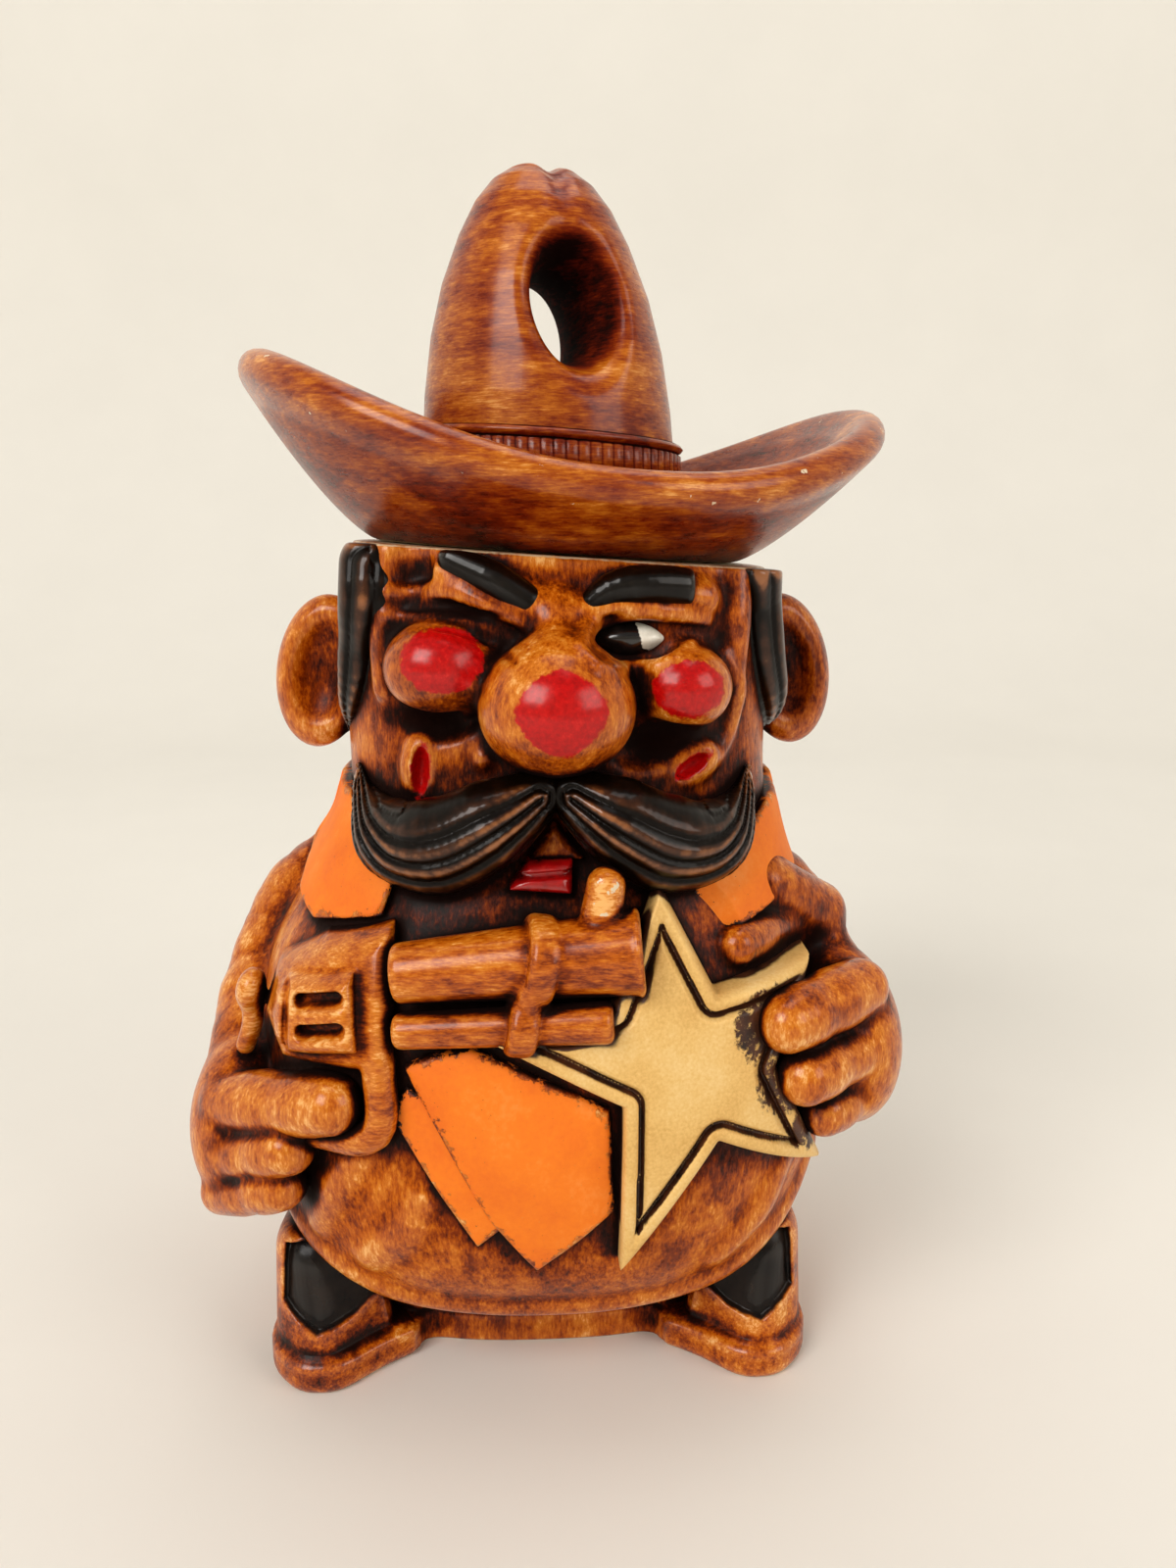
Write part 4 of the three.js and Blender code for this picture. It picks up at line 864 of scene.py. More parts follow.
# ---------------------------------------------------------------- boots
BOOT_SHIFT, BOOT_HEIGHT, SOLE = -2.5, 42, 9.5
BOOT_SOLE = ((31, -42.5), (43, -50), (54, -60), (65, -59.5), (73, -51), (75.5, -40), (71, -8), (50, -8))
BOOT_FOOT = ((39, -43), (47, -49), (56, -57.5), (64, -57), (71.5, -49.5), (74.3, -39.5), (70.5, -8), (52, -8))
BOOT_TOP = ((44, -44), (51, -49.5), (60, -52.5), (67, -51), (71.5, -46), (73, -38), (69, -8), (54, -8))
VAMP = ((37.5, 27), (47, 33), (62, 40), (68.5, 38), (69.5, 22), (60, 15.5), (51, 17.5))


def boot_ring(height, side):
    """The boot's outline at a height: a sole plate, then an upper that leans back."""
    rise = float(np.clip((height - SOLE) / (BOOT_HEIGHT - SOLE - 4), 0, 1))
    upper = np.array(BOOT_FOOT) + (np.array(BOOT_TOP) - np.array(BOOT_FOOT)) * rise
    plate = float(np.clip((SOLE + 0.8 - height) / 1.6, 0, 1))
    ring = upper + (np.array(BOOT_SOLE) - upper) * plate
    for _ in range(2):
        nearby = np.roll(ring, -1, axis=0)
        ring = np.stack([0.78 * ring + 0.22 * nearby, 0.22 * ring + 0.78 * nearby], axis=1).reshape(-1, 2)
    return np.stack([BOOT_SHIFT + side * ring[:, 0], ring[:, 1]], axis=1)


def vamp(side):
    """Outline of the boot's black panel."""
    return [(BOOT_SHIFT + side * x, z) for x, z in VAMP]


def boot(side):
    """A boot built up from its outlines, with a welt and a sunk panel."""
    low, high = np.array((28, -66, -1), float), np.array((80, -4, 46), float)
    if side < 0:
        low[0], high[0] = -80, -28
    low[0], high[0] = low[0] + BOOT_SHIFT, high[0] + BOOT_SHIFT
    clay = Clay(low, high, FINE_STEP)
    x, y, z = clay.axes()
    for k, height in enumerate(z.ravel()):
        welt = 0.9 * math.exp(-((height - SOLE + 0.6) / 0.8) ** 2)
        clay.field[:, :, k] = from_edge(boot_ring(height, side), x, y)[:, :, 0] + welt
    clay.trim(z - BOOT_HEIGHT, 9).trim(-z, 3)
    sink = 1.8 * np.clip(0.3 - from_edge(vamp(side), x, z) / 1.2, 0, 1)
    clay.field += (sink * (y < -30)).astype(np.float32)
    return clay


# ---------------------------------------------------------------- hat, in its own frame on the seat
HAT_TURN = math.radians(13)
BRIM_SIDE, BRIM_FRONT, BRIM_SHIFT, BRIM_SEAT, BRIM_THICK = 89.5, 74.5, 1.2, 49, 9
BRIM_SIDES, BRIM_STEPS = 288, 26  # points round the brim and across it
BRIM_LIFT_FRONT, BRIM_LIFT_SIDE, BRIM_ROLL, BRIM_CURVE, BRIM_BLUNT = 14.5, 43, 2.5, 1.35, 2.2
CROWN_RADIUS, CROWN_FOOT, CROWN_TOP, CROWN_WALL = 34.5, 15, 98.5, 5
CROWN_SHIFT, CROWN_LEAN, CROWN_PINCH, PINCH_WIDTH = -2.5, math.radians(4.8), 2.4, 2.8
TUNNEL_HEIGHT, TUNNEL_HALF_WIDTH, TUNNEL_STRETCH, TUNNEL_WAIST = 64.3, 15.6, 1.44, 0.52
TUNNEL_SLANT, TUNNEL_DROP = 0.07, 0.14
BAND_FOOT, BAND_HEIGHT, BAND_RIBS, RIB_DEPTH = 21, 9.5, 72, 0.45
BAND_PROUD = 1.2
CROWN_SWELL_REACH = (4.0, 8.0)
LAND = (CROWN_RADIUS + 5.5 - BRIM_SEAT) / (BRIM_SIDE - BRIM_SEAT)  # the brim is thickest up to here, under the crown
CROWN_CURVE = np.array([(-0.5, 0), (0, 0.1), (1.2, 0.28), (3.5, 0.46), (7, 0.62), (12, 0.77), (16.5, 0.87),
                        (21, 0.935), (26, 0.975), (30, 0.992), (34.5, 1)])  # radius lost, share of the height


def on_the_seat(points):
    """Points of the hat in the part's frame, turned and tilted as it sits."""
    turn = turned_by(0, 0, HAT_TURN)
    tilt = turned_by(0, SEAT_TILT, 0)
    return points @ (tilt @ turn).T + SEAT


def brim_under(share, angle):
    """The underside of the curled brim: share 0 at its seat and 1 at the lip."""
    c, s = np.cos(angle), np.sin(angle)
    lip = (np.abs(c / BRIM_SIDE) ** BRIM_BLUNT + np.abs(s / BRIM_FRONT) ** BRIM_BLUNT) ** (-1 / BRIM_BLUNT)
    flare = np.clip(share, 0, None)
    radius = BRIM_SEAT + share * np.where(share > 0, lip - BRIM_SEAT, BRIM_SIDE - BRIM_SEAT)
    lift = BRIM_LIFT_FRONT + (BRIM_LIFT_SIDE - BRIM_LIFT_FRONT) * np.abs(c) ** BRIM_ROLL
    return np.stack([c * radius + BRIM_SHIFT * flare, s * radius, SLIP + lift * flare ** BRIM_CURVE], axis=-1)


def loop_faces(sides, count):
    """Faces between rows of points that close both round the axis and along each row."""
    i, j = np.meshgrid(np.arange(sides), np.arange(count), indexing="ij")
    n, m = (i + 1) % sides, (j + 1) % count
    return np.stack([i * count + j, n * count + j, n * count + m, i * count + m], axis=2).reshape(-1, 4)


def brim_skin():
    """The brim: its underside, a rounded lip and a top that is as thick everywhere."""
    angle = np.linspace(0, 2 * math.pi, BRIM_SIDES, endpoint=False)[:, None]
    hole = (CROWN_RADIUS - 8 - BRIM_SEAT) / (BRIM_SIDE - BRIM_SEAT)
    c, s = np.cos(angle) / BRIM_SIDE, np.sin(angle) / BRIM_FRONT
    last = 1 - 0.9 * BRIM_THICK / 2 / (1 / np.hypot(c, s) - BRIM_SEAT)
    inner = np.array([[hole, LAND, 0.8 * LAND, 0.6 * LAND]]) + 0 * angle
    share = np.concatenate([inner, last * np.linspace(0.4 * LAND, 1, BRIM_STEPS)], axis=1)
    under = brim_under(share, angle)
    tiny = 1e-3
    outward = brim_under(share + tiny, angle) - brim_under(share - tiny, angle)
    around = brim_under(share, angle + tiny) - brim_under(share, angle - tiny)
    up = np.cross(outward, around)
    up /= np.linalg.norm(up, axis=-1, keepdims=True)
    outward /= np.linalg.norm(outward, axis=-1, keepdims=True)
    thick = BRIM_THICK + 2 * (1 - np.clip(share, 0, 1)) + 4.4 * np.sin(math.pi / 2 * np.clip(share / LAND, 0, 1)) ** 2
    thick = thick[..., None] + 0 * under[..., :1]
    top = under + up * thick
    top[:, 0, 2], top[:, 0, :2] = top[:, 1, 2], under[:, 0, :2]
    half = thick[:, -1] / 2
    bends = np.linspace(0, math.pi, 11)[1:-1]
    lip = [up[:, -1] * (1 - math.cos(a)) + 1.05 * outward[:, -1] * math.sin(a) for a in bends]
    lip = np.stack([under[:, -1] + half * way for way in lip], axis=1)
    rows = np.concatenate([under, lip, top[:, ::-1]], axis=1)
    ways = share[0] / share[0, -1]
    along = np.concatenate([ways, np.ones(len(bends)), ways[::-1]])
    is_top = np.concatenate([np.zeros(len(ways)), np.linspace(0, 1, len(bends)), np.ones(len(ways))])
    faces = loop_faces(BRIM_SIDES, rows.shape[1])
    return rows.reshape(-1, 3), faces, np.tile(along, BRIM_SIDES), np.tile(is_top, BRIM_SIDES)


def turned_skin(profile, sides):
    """A closed profile of radius and height turned about the axis."""
    angle = np.linspace(0, 2 * math.pi, sides, endpoint=False)
    r, h = np.array(profile, float).T
    points = np.stack([np.outer(np.cos(angle), r), np.outer(np.sin(angle), r), np.tile(h, (sides, 1))], axis=2)
    return points.reshape(-1, 3), loop_faces(sides, len(profile))


def crown_lean(z):
    """How far aside the leaning crown's axis lies."""
    return CROWN_SHIFT - math.tan(CROWN_LEAN) * (z - CROWN_FOOT)


def tunnel_ring(x, y, z):
    """Distance to the wall of the finger tunnel, which is narrow in its middle."""
    flare = TUNNEL_WAIST + (1 - TUNNEL_WAIST) * np.clip(y / CROWN_RADIUS, -1.1, 1.1) ** 2
    aside, drop = x - crown_lean(z) + TUNNEL_SLANT * y, z - TUNNEL_HEIGHT + TUNNEL_DROP * (y + CROWN_RADIUS)
    return np.sqrt(aside ** 2 + (drop / TUNNEL_STRETCH) ** 2) - TUNNEL_HALF_WIDTH * flare


def crown_clay():
    """The hollow crown with the walled tunnel through it."""
    clay = Clay((-48, -42, 10), (42, 42, 106), 0.6)
    x, y, z = clay.axes()
    tall = CROWN_TOP - CROWN_FOOT
    x = x - crown_lean(z)

    def body(inset):
        near = np.clip((z - CROWN_FOOT) / tall - 0.6, 0, None) / 0.4
        raised = z + CROWN_PINCH * near * np.exp(-(x / PINCH_WIDTH) ** 2)
        share = (raised - CROWN_FOOT) / (tall - inset)
        lost = np.interp(share, CROWN_CURVE[:, 1], CROWN_CURVE[:, 0])
        radius = CROWN_RADIUS - inset - lost
        slope = np.gradient(radius, axis=2) / clay.step
        side = (np.hypot(x, y) - radius) / np.sqrt(1 + np.clip(slope, -6, 6) ** 2)
        return np.where(share > 1, np.maximum(side, (share - 1) * tall), side)

    clay.field = soft_both(body(0.0), CROWN_FOOT + SLIP - z + 0 * x, 1.0).astype(np.float32)
    hollow = soft_both(body(CROWN_WALL), CROWN_FOOT - 1 - z + 0 * x, 1.0)
    ring = tunnel_ring(*clay.axes())
    shell = np.maximum(clay.field, -hollow)
    liner = np.maximum(ring - CROWN_WALL * 0.8, clay.field)
    clay.field = soft_both(np.minimum(shell, liner), -ring, 5.0).astype(np.float32)
    return clay.even()


def hat_band():
    """A ribbed band with a cord along its top."""
    low, high = BAND_FOOT, BAND_FOOT + BAND_HEIGHT
    cord = high - 2.6
    share = (low - CROWN_FOOT) / (CROWN_TOP - CROWN_FOOT)
    inner = CROWN_RADIUS - 1.0 - float(np.interp(share, CROWN_CURVE[:, 1], CROWN_CURVE[:, 0]))
    outer = CROWN_RADIUS + SLIP + BAND_PROUD
    profile = [(inner, low), (outer - 0.5, low), (outer, low + 0.6), (outer, low + 3), (outer, cord - 0.5),
               (outer - 0.9, cord), (outer + 0.1, cord + 0.5), (outer + 0.7, cord + 1.3), (outer + 0.1, cord + 2.1),
               (outer - 1.0, high), (inner, high)]
    points, faces = turned_skin(profile, BAND_RIBS * 8)
    radius, angle = np.hypot(points[:, 0], points[:, 1]), np.arctan2(points[:, 1], points[:, 0])
    ribbed = (points[:, 2] > low + 0.3) & (points[:, 2] < cord - 0.2) & (radius > outer - 0.7)
    wave = np.where(ribbed, RIB_DEPTH * (np.abs(np.cos(BAND_RIBS / 2 * angle)) - 0.7), 0)
    points[:, :2] *= (1 + wave / radius)[:, None]
    points[:, 0] += crown_lean(points[:, 2])
    return points, faces


def locating_ring():
    """The ring under the hat that drops into the jar's mouth."""
    outer = MOUTH_RADIUS - 1.6
    inner, depth = outer - 6, 11
    profile = [(inner, -depth), (inner + 2, -depth), (outer - 2, -depth), (outer - 0.4, 1.0 - depth),
               (outer, 2.2 - depth), (outer, -4), (outer, 0), (inner, 0), (inner, -4)]
    return turned_skin(profile, 128)


# ---------------------------------------------------------------- finishes
def srgb(r, g, b):
    """A colour given as it looks on a screen, 0 to 255."""
    fine = lambda c: c / 12.92 if c <= 0.04045 else ((c + 0.055) / 1.055) ** 2.4
    return tuple(fine(c / 255) for c in (r, g, b)) + (1.0,)


class Value:
    """A number that changes over a surface, for ordinary sums."""

    def __init__(self, finish, socket):
        self.finish, self.socket = finish, socket

    def __add__(self, other):
        return self.finish.sum("ADD", self, other)

    def __sub__(self, other):
        return self.finish.sum("SUBTRACT", self, other)

    def __rsub__(self, other):
        return self.finish.sum("SUBTRACT", other, self)

    def __mul__(self, other):
        return self.finish.sum("MULTIPLY", self, other)

    __radd__, __rmul__ = __add__, __mul__


class Finish:
    """A material whose nodes are added one by one."""

    def __init__(self, name):
        self.material = bpy.data.materials.new(name)
        self.material.use_nodes = True
        self.tree = self.material.node_tree
        self.tree.nodes.clear()

    def add(self, kind, settings=None, sockets=None, out=0):
        """Adds a node with its settings, and links or sets its sockets."""
        node = self.tree.nodes.new(kind)
        for key, value in (settings or {}).items():
            if key == "stops":
                ramp = node.color_ramp.elements
                while len(ramp) < len(value):
                    ramp.new(0.5)
                for element, (position, colour) in zip(ramp, value):
                    element.position, element.color = position, colour
            else:
                setattr(node, key, value)
        for key, value in (sockets or {}).items():
            if isinstance(value, Value):
                self.tree.links.new(value.socket, node.inputs[key])
            else:
                node.inputs[key].default_value = value
        return Value(self, node.outputs[out]) if node.outputs else None

    def sum(self, operation, *values):
        return self.add("ShaderNodeMath", {"operation": operation}, dict(enumerate(values)))

    def noted(self, name):
        return self.add("ShaderNodeAttribute", {"attribute_name": name}, out="Fac")

    def place(self, scale=(1, 1, 1)):
        at = self.add("ShaderNodeTexCoord", out="Object")
        return self.add("ShaderNodeMapping", {}, {"Vector": at, "Scale": scale})

    def noise(self, scale, detail=4.0, rough=0.55, stretch=(1, 1, 1)):
        sockets = {"Vector": self.place(stretch), "Scale": scale, "Detail": detail, "Roughness": rough}
        return self.add("ShaderNodeTexNoise", {}, sockets)

    def step(self, value, low, high):
        """0 below low and 1 above high, eased between."""
        return self.add("ShaderNodeMapRange", {"interpolation_type": "SMOOTHSTEP"},
                        {"Value": value, "From Min": low, "From Max": high})

    def ramp(self, value, *stops):
        return self.add("ShaderNodeValToRGB", {"stops": stops}, {"Fac": value})

    def blend(self, share, first, second):
        return self.add("ShaderNodeMix", {"data_type": "RGBA"}, {0: share, 6: first, 7: second}, out=2)

    def bump(self, height, depth_mm, before=None):
        sockets = {"Height": height, "Strength": 1.0, "Distance": depth_mm * MM}
        if before:
            sockets["Normal"] = before
        return self.add("ShaderNodeBump", {}, sockets)

    def shine(self, **sockets):
        """The surface itself, as the material's output."""
        named = {key.replace("_", " "): value for key, value in sockets.items()}
        surface = self.add("ShaderNodeBsdfPrincipled", {}, named)
        self.add("ShaderNodeOutputMaterial", {}, {"Surface": surface})
        return self.material


STAIN = ((0.0, srgb(22, 6, 3)), (0.2, srgb(60, 16, 2)), (0.42, srgb(126, 46, 1)), (0.62, srgb(182, 86, 5)),
         (0.82, srgb(212, 124, 32)), (1.0, srgb(244, 182, 108)))
HAT_STAIN = ((0.0, srgb(26, 5, 2)), (0.2, srgb(72, 13, 1)), (0.42, srgb(116, 32, 2)), (0.62, srgb(154, 66, 5)),
             (0.82, srgb(192, 106, 22)), (1.0, srgb(224, 154, 76)))


def stain_tone(f, streak, strength, base=0.5):
    """How light the rubbed stain is: streaks and clouds; dark in creases and hollows, partly gathered stain and
    partly painted shade; light on raised forms and edges, partly worn and partly painted highlight.
    """
    fine_streak = [s * s for s in streak]
    brush = f.noise(360.0, 6.0, 0.68, streak)
    hair, stroke = f.noise(1300.0, 4.0, 0.65, fine_streak), f.noise(120.0, 4.0, 0.6, fine_streak)
    cloud, patch = f.noise(60.0, 5.0, 0.62), f.noise(22.0, 3.0, 0.5)
    tone = base + strength * (brush - 0.5) + 0.8 * (hair - 0.5) + 0.75 * (stroke - 0.5)
    tone = tone + 0.7 * (cloud - 0.5) + 0.65 * (patch - 0.5)
    # painted highlight on raised forms and painted shade in hollows, with wear on edges
    tone = tone + 2.4 * f.noted("swell") + 0.4 * f.noted("edge")
    # darker in creases: gathered stain and painted shade
    return tone - 0.5 * f.step(f.noted("crease"), 0.1, 0.85), brush, hair


def red_and_bare(f, colour, rough):
    """Red dabs with ragged edges over the stain, and bare clay where no stain went."""
    ragged = 3.2 * (f.noise(420.0, 5.0, 0.65) - 0.5)
    red = 1 - f.step(f.noted("red") + ragged, -0.35, 0.35)
    reds = (0.3, srgb(158, 4, 4)), (0.62, srgb(194, 10, 9)), (0.8, srgb(212, 40, 28))
    colour = f.blend(red, colour, f.ramp(f.noise(900.0, 3.0, 0.6), *reds))
    bare = f.step(f.noted("bare") + 0.25 * (f.noise(500.0) - 0.5), 0.45, 0.6)
    clays = (0.3, srgb(196, 170, 132)), (0.7, srgb(222, 202, 168))
    return f.blend(bare, colour, f.ramp(f.noise(160.0), *clays)), rough - 0.16 * red + 0.2 * bare


def stained(name, stops, streak, strength, base, paint=True):
    """Stained clay under a thin glaze that shines on what stands out."""
    f = Finish(name)
    tone, brush, hair = stain_tone(f, streak, strength, base)
    crease, edge = f.noted("crease"), f.noted("edge")
    colour, rough = f.ramp(tone, *stops), 0.2 + 0.18 * brush + 0.85 * crease
    if paint:
        colour, rough = red_and_bare(f, colour, rough)
    specks = f.step(f.noise(420.0, 3.0, 0.5) + 0.35 * edge, 0.84, 0.87)
    colour = f.blend(specks, colour, srgb(226, 206, 174))
    dents = f.bump(brush + 0.6 * hair, 0.12)
    dents = f.bump(f.noise(75.0, 3.0), 0.35, dents)
    gloss = 0.04 + 0.6 * f.step(f.noted("swell") + edge, -0.04, 0.12)
    gloss = gloss * (1 - f.step(crease, 0.1, 0.5))
    return f.shine(Base_Color=colour, Roughness=rough, Normal=dents, IOR=1.16, Coat_Weight=gloss, Coat_Roughness=0.2)


def black_glaze(name, brown_wear_and_sheen):
    """Black glaze on hair, brown along its ridges: partly worn glaze, partly a painted sheen."""
    f = Finish(name)
    # brown on ridges: worn glaze and painted sheen
    worn = f.noted("edge") * brown_wear_and_sheen + 0.5 * (f.noise(260.0, 5.0, 0.6) - 0.5)
    browns = (0.0, srgb(10, 4, 1)), (0.5, srgb(66, 34, 14)), (1.0, srgb(150, 92, 50))
    colour = f.ramp(f.step(worn, 0.1, 0.75), *browns)
    rough = 0.22 + 0.18 * f.noise(180.0)
    dents = f.bump(f.noise(90.0, 3.0), 0.3)
    gloss = 0.08 + 0.8 * f.step(f.noted("edge"), 0.0, 0.3)
    return f.shine(Base_Color=colour, Roughness=rough, Normal=dents, Coat_Weight=gloss, Coat_Roughness=0.12, IOR=1.2)


def vamp_glaze():
    """Boots: stained clay with a black glazed panel."""
    f = Finish("boot_stain")
    tone, brush, hair = stain_tone(f, (1, 1, 1), 0.9, 0.48)
    colour = f.ramp(tone, *STAIN)
    panel = 1 - f.step(f.noted("panel") + 0.8 * (f.noise(300.0) - 0.5), -0.3, 0.3)
    black = f.ramp(f.noise(120.0, 4.0), (0.35, srgb(12, 10, 10)), (0.7, srgb(34, 25, 20)))
    colour = f.blend(panel, colour, black)
    chips = f.step(f.noise(210.0, 3.0, 0.5) + 0.3 * f.noted("edge"), 0.86, 0.9)
    colour = f.blend(chips, colour, srgb(206, 186, 150))
    rough = 0.32 + 0.14 * brush - 0.18 * panel
    dents = f.bump(brush + 0.6 * hair, 0.08)
    gloss = 0.06 + 0.7 * f.step(f.noted("swell") + f.noted("edge"), 0.0, 0.16)
    return f.shine(Base_Color=colour, Roughness=rough, Normal=dents, IOR=1.22, Coat_Weight=gloss, Coat_Roughness=0.2)


def red_glaze():
    """The glossy red of the mouth."""
    f = Finish("red_glaze")
    # darker in creases: painted shade; lighter on edges where worn
    worn = f.noise(300.0, 4.0, 0.6) + 0.5 * f.noted("edge") - 0.6 * f.noted("crease")
    reds = (0.15, srgb(58, 4, 3)), (0.4, srgb(140, 5, 5)), (0.7, srgb(178, 9, 9)), (1.0, srgb(206, 44, 28))
    rough = 0.18 + 0.14 * f.noise(200.0)
    return f.shine(Base_Color=f.ramp(worn, *reds), Roughness=rough, Normal=f.bump(f.noise(120.0), 0.2),
                   Coat_Weight=0.5, Coat_Roughness=0.1, IOR=1.5)


def orange_paint():
    """Dull orange paint, lost to the stained clay along its rim and in specks."""
    f = Finish("orange_paint")
    cloud, fine = f.noise(60.0, 4.0), f.noise(700.0, 4.0, 0.6)
    oranges = (0.3, srgb(232, 104, 4)), (0.55, srgb(244, 124, 8)), (0.75, srgb(250, 148, 62))
    colour = f.ramp(0.7 * cloud + 0.3 * fine, *oranges)
    tone = stain_tone(f, (1, 1, 1), 0.9)[0]
    ragged = f.noted("rim") + 11.0 * (f.noise(260.0, 7.0, 0.74) - 0.5)
    chipped = 1 - f.step(ragged, 0.1, 0.5)
    specks = f.step(f.noise(1500.0, 2.0, 0.5), 0.73, 0.76)
    gone = f.sum("MAXIMUM", chipped, specks)
    colour = f.blend(gone, colour, f.ramp(tone + 0.1, *STAIN))
    rough = 0.62 - 0.25 * gone + 0.1 * fine
    dents = f.bump(fine + 1.4 * (1 - gone), 0.08)
    return f.shine(Base_Color=colour, Roughness=rough, Normal=dents, IOR=1.45)


def gold_paint():
    """Gold paint, dark in its grooves with gathered stain and painted shade, worn off beside the fingers."""
    f = Finish("gold_paint")
    cloud, fine = f.noise(55.0, 4.0), f.noise(1300.0, 3.0, 0.6)
    golds = (0.3, srgb(204, 152, 76)), (0.52, srgb(232, 188, 112)), (0.75, srgb(246, 214, 152))
    colour = f.ramp(0.6 * cloud + 0.4 * fine, *golds)
    dark_grooves = f.step(f.noted("crease") + 0.25 * (f.noise(400.0, 4.0) - 0.5), 0.22, 0.5)
    lost = f.step(f.noted("worn") + 1.1 * (f.noise(480.0, 5.0, 0.7) - 0.5), 0.45, 0.6)
    gone = f.sum("MAXIMUM", dark_grooves, lost)
    dark = f.ramp(f.noise(200.0), (0.3, srgb(30, 14, 8)), (0.7, srgb(86, 44, 20)))
    colour = f.blend(gone, colour, dark)
    rough = 0.44 + 0.12 * fine - 0.08 * gone
    metal = 0.2 * (1 - gone)
    dents = f.bump(fine + 1.5 * (1 - gone), 0.09)
    return f.shine(Base_Color=colour, Roughness=rough, Metallic=metal, Normal=dents, IOR=1.45)


def eye_glaze():
    """A glossy black eye with a chipped white."""
    f = Finish("eye_glaze")
    chipped = f.noted("white") + 1.6 * (f.noise(650.0, 4.0, 0.7) - 0.5)
    white = 1 - f.step(chipped, -0.15, 0.15)
    black = f.ramp(f.noise(200.0), (0.3, srgb(12, 10, 10)), (0.7, srgb(30, 22, 18)))
    pale = f.ramp(f.noise(500.0), (0.3, srgb(214, 208, 192)), (0.7, srgb(244, 240, 228)))
    colour = f.blend(white, black, pale)
    return f.shine(Base_Color=colour, Roughness=0.14 + 0.3 * white, Normal=f.bump(f.noise(160.0), 0.15),
                   Coat_Weight=0.5, Coat_Roughness=0.08, IOR=1.5)


# ---------------------------------------------------------------- making the jar
JAR_STAIN = stained("jar_stain", STAIN, (1, 1, 0.55), 0.85, 0.54)
GUN_STAIN = stained("gun_stain", STAIN, (0.5, 1, 1.2), 0.85, 0.55, paint=False)
HAT = stained("hat_stain", HAT_STAIN, (0.45, 0.45, 1.3), 0.8, 0.43)
HAIR = black_glaze("hair_glaze", 2.6)
BROWS = black_glaze("brow_glaze", 0.5)
ORANGE, GOLD, RED, EYE_GLAZE, BOOT = orange_paint(), gold_paint(), red_glaze(), eye_glaze(), vamp_glaze()

RED_DABS = (((-23.9, 196.6), (9.6, 7.4), 2.0), ((33.3, 189.6), (8.4, 6.8), 2.0), ((3.2, 186.6), (10.4, 9.8), 1.6))
RED_SLITS = ((RIGHT_DIMPLE, (2.4, 6.4), 0.06), (LEFT_DIMPLE, (2.4, 5.2), 0.95))
UNPAINTED = 6.0  # distance noted where no paint is near
OUTLINES = {"right_collar": RIGHT_COLLAR, "left_collar": LEFT_COLLAR,
            "kerchief_point_over": POINT_OVER, "kerchief_point_under": POINT_UNDER}
VAMPS = {"right_boot": vamp(-1), "left_boot": vamp(1)}
EYE_WHITE = ((21.5, 204.8), (28.8, 204.3), (29.4, 200.2), (27, 197.2), (23.2, 198.4))
CAST_NODES = ["jar_body", "nose", "right_cheek", "left_cheek", "right_ear", "left_ear", "right_eyelid",
              "right_hand", "left_hand", "right_sleeve", "left_sleeve", "left_thumb"]
CAST_NODES += [f"{hand}_finger_{i}" for hand in ("gun", "star") for i in (1, 2, 3)]
GUN_NODES = ["revolver_barrel", "ejector_tube", "barrel_band", "front_sight",
             "revolver_frame", "revolver_cylinder", "hammer", "trigger_guard"]


def ellipse(x, z, at, radii, power=2.0):
    """Distance to a dab of paint, below zero inside it."""
    k = (np.abs((x - at[0]) / radii[0]) ** power + np.abs((z - at[1]) / radii[1]) ** power) ** (1 / power)
    return (k - 1) * min(radii)


def slit_red(x, z, at, radii, lean):
    """Distance to the red in a leaning slit."""
    across, up = x - at[0], z - at[1]
    c, s = math.cos(lean), math.sin(lean)
    return ellipse(c * across - s * up, s * across + c * up, (0, 0), radii)


def jar_paint(obj):
    """Where the red dabs and the bare clay lie on the casting."""
    x, y, z = points_of(obj).T
    red = [ellipse(x, z, *dab) for dab in RED_DABS] + [slit_red(x, z, *slit) for slit in RED_SLITS]
    red = np.clip(np.min(red, axis=0), -UNPAINTED, UNPAINTED)
    note(obj, "red", np.where(y < -45, red, UNPAINTED))
    skin = vessel(x.astype(np.float32), y.astype(np.float32), z)
    inside = (skin < 0.3 - WALL) & (z > 3)
    rim = 0.62 * np.clip(1 - np.abs(seat_distance(x, y, z) + 0.3) / 1.3, 0, 1)
    note(obj, "bare", np.maximum(inside | (z < 0.4), rim))


def star_wear(points):
    """How far the gold is worn off beside the fingers."""
    gaps = []
    for knuckle, tip, radius in STAR_FINGERS:
        start, end = on(*knuckle), on(*tip)
        line = curve([start, (start + end) / 2, end], 20)
        gaps.append(np.min([np.linalg.norm(points - p, axis=1) for p in line], axis=0) - radius)
    return 0.62 * np.clip(1 - np.min(gaps, axis=0) / 5, 0, 1)


def paint_marks(name, piece):
    """Where the paint of an applied piece ends, wears off or changes."""
    points = points_of(piece)
    x, y, z = points.T
    if name in OUTLINES:
        foot, top = neck_band(y)
        rim = np.where(y > -2, np.minimum(z - foot, top - z), -from_edge(OUTLINES[name], x, z))
        note(piece, "rim", np.clip(rim - 0.4, -1, 4))
    elif name in VAMPS:
        note(piece, "panel", np.where(y < -30, from_edge(VAMPS[name], x, z), UNPAINTED))
    elif name == "star_badge":
        note(piece, "worn", star_wear(points))
    elif name == "left_eye":
        note(piece, "white", from_edge(EYE_WHITE, x, z))


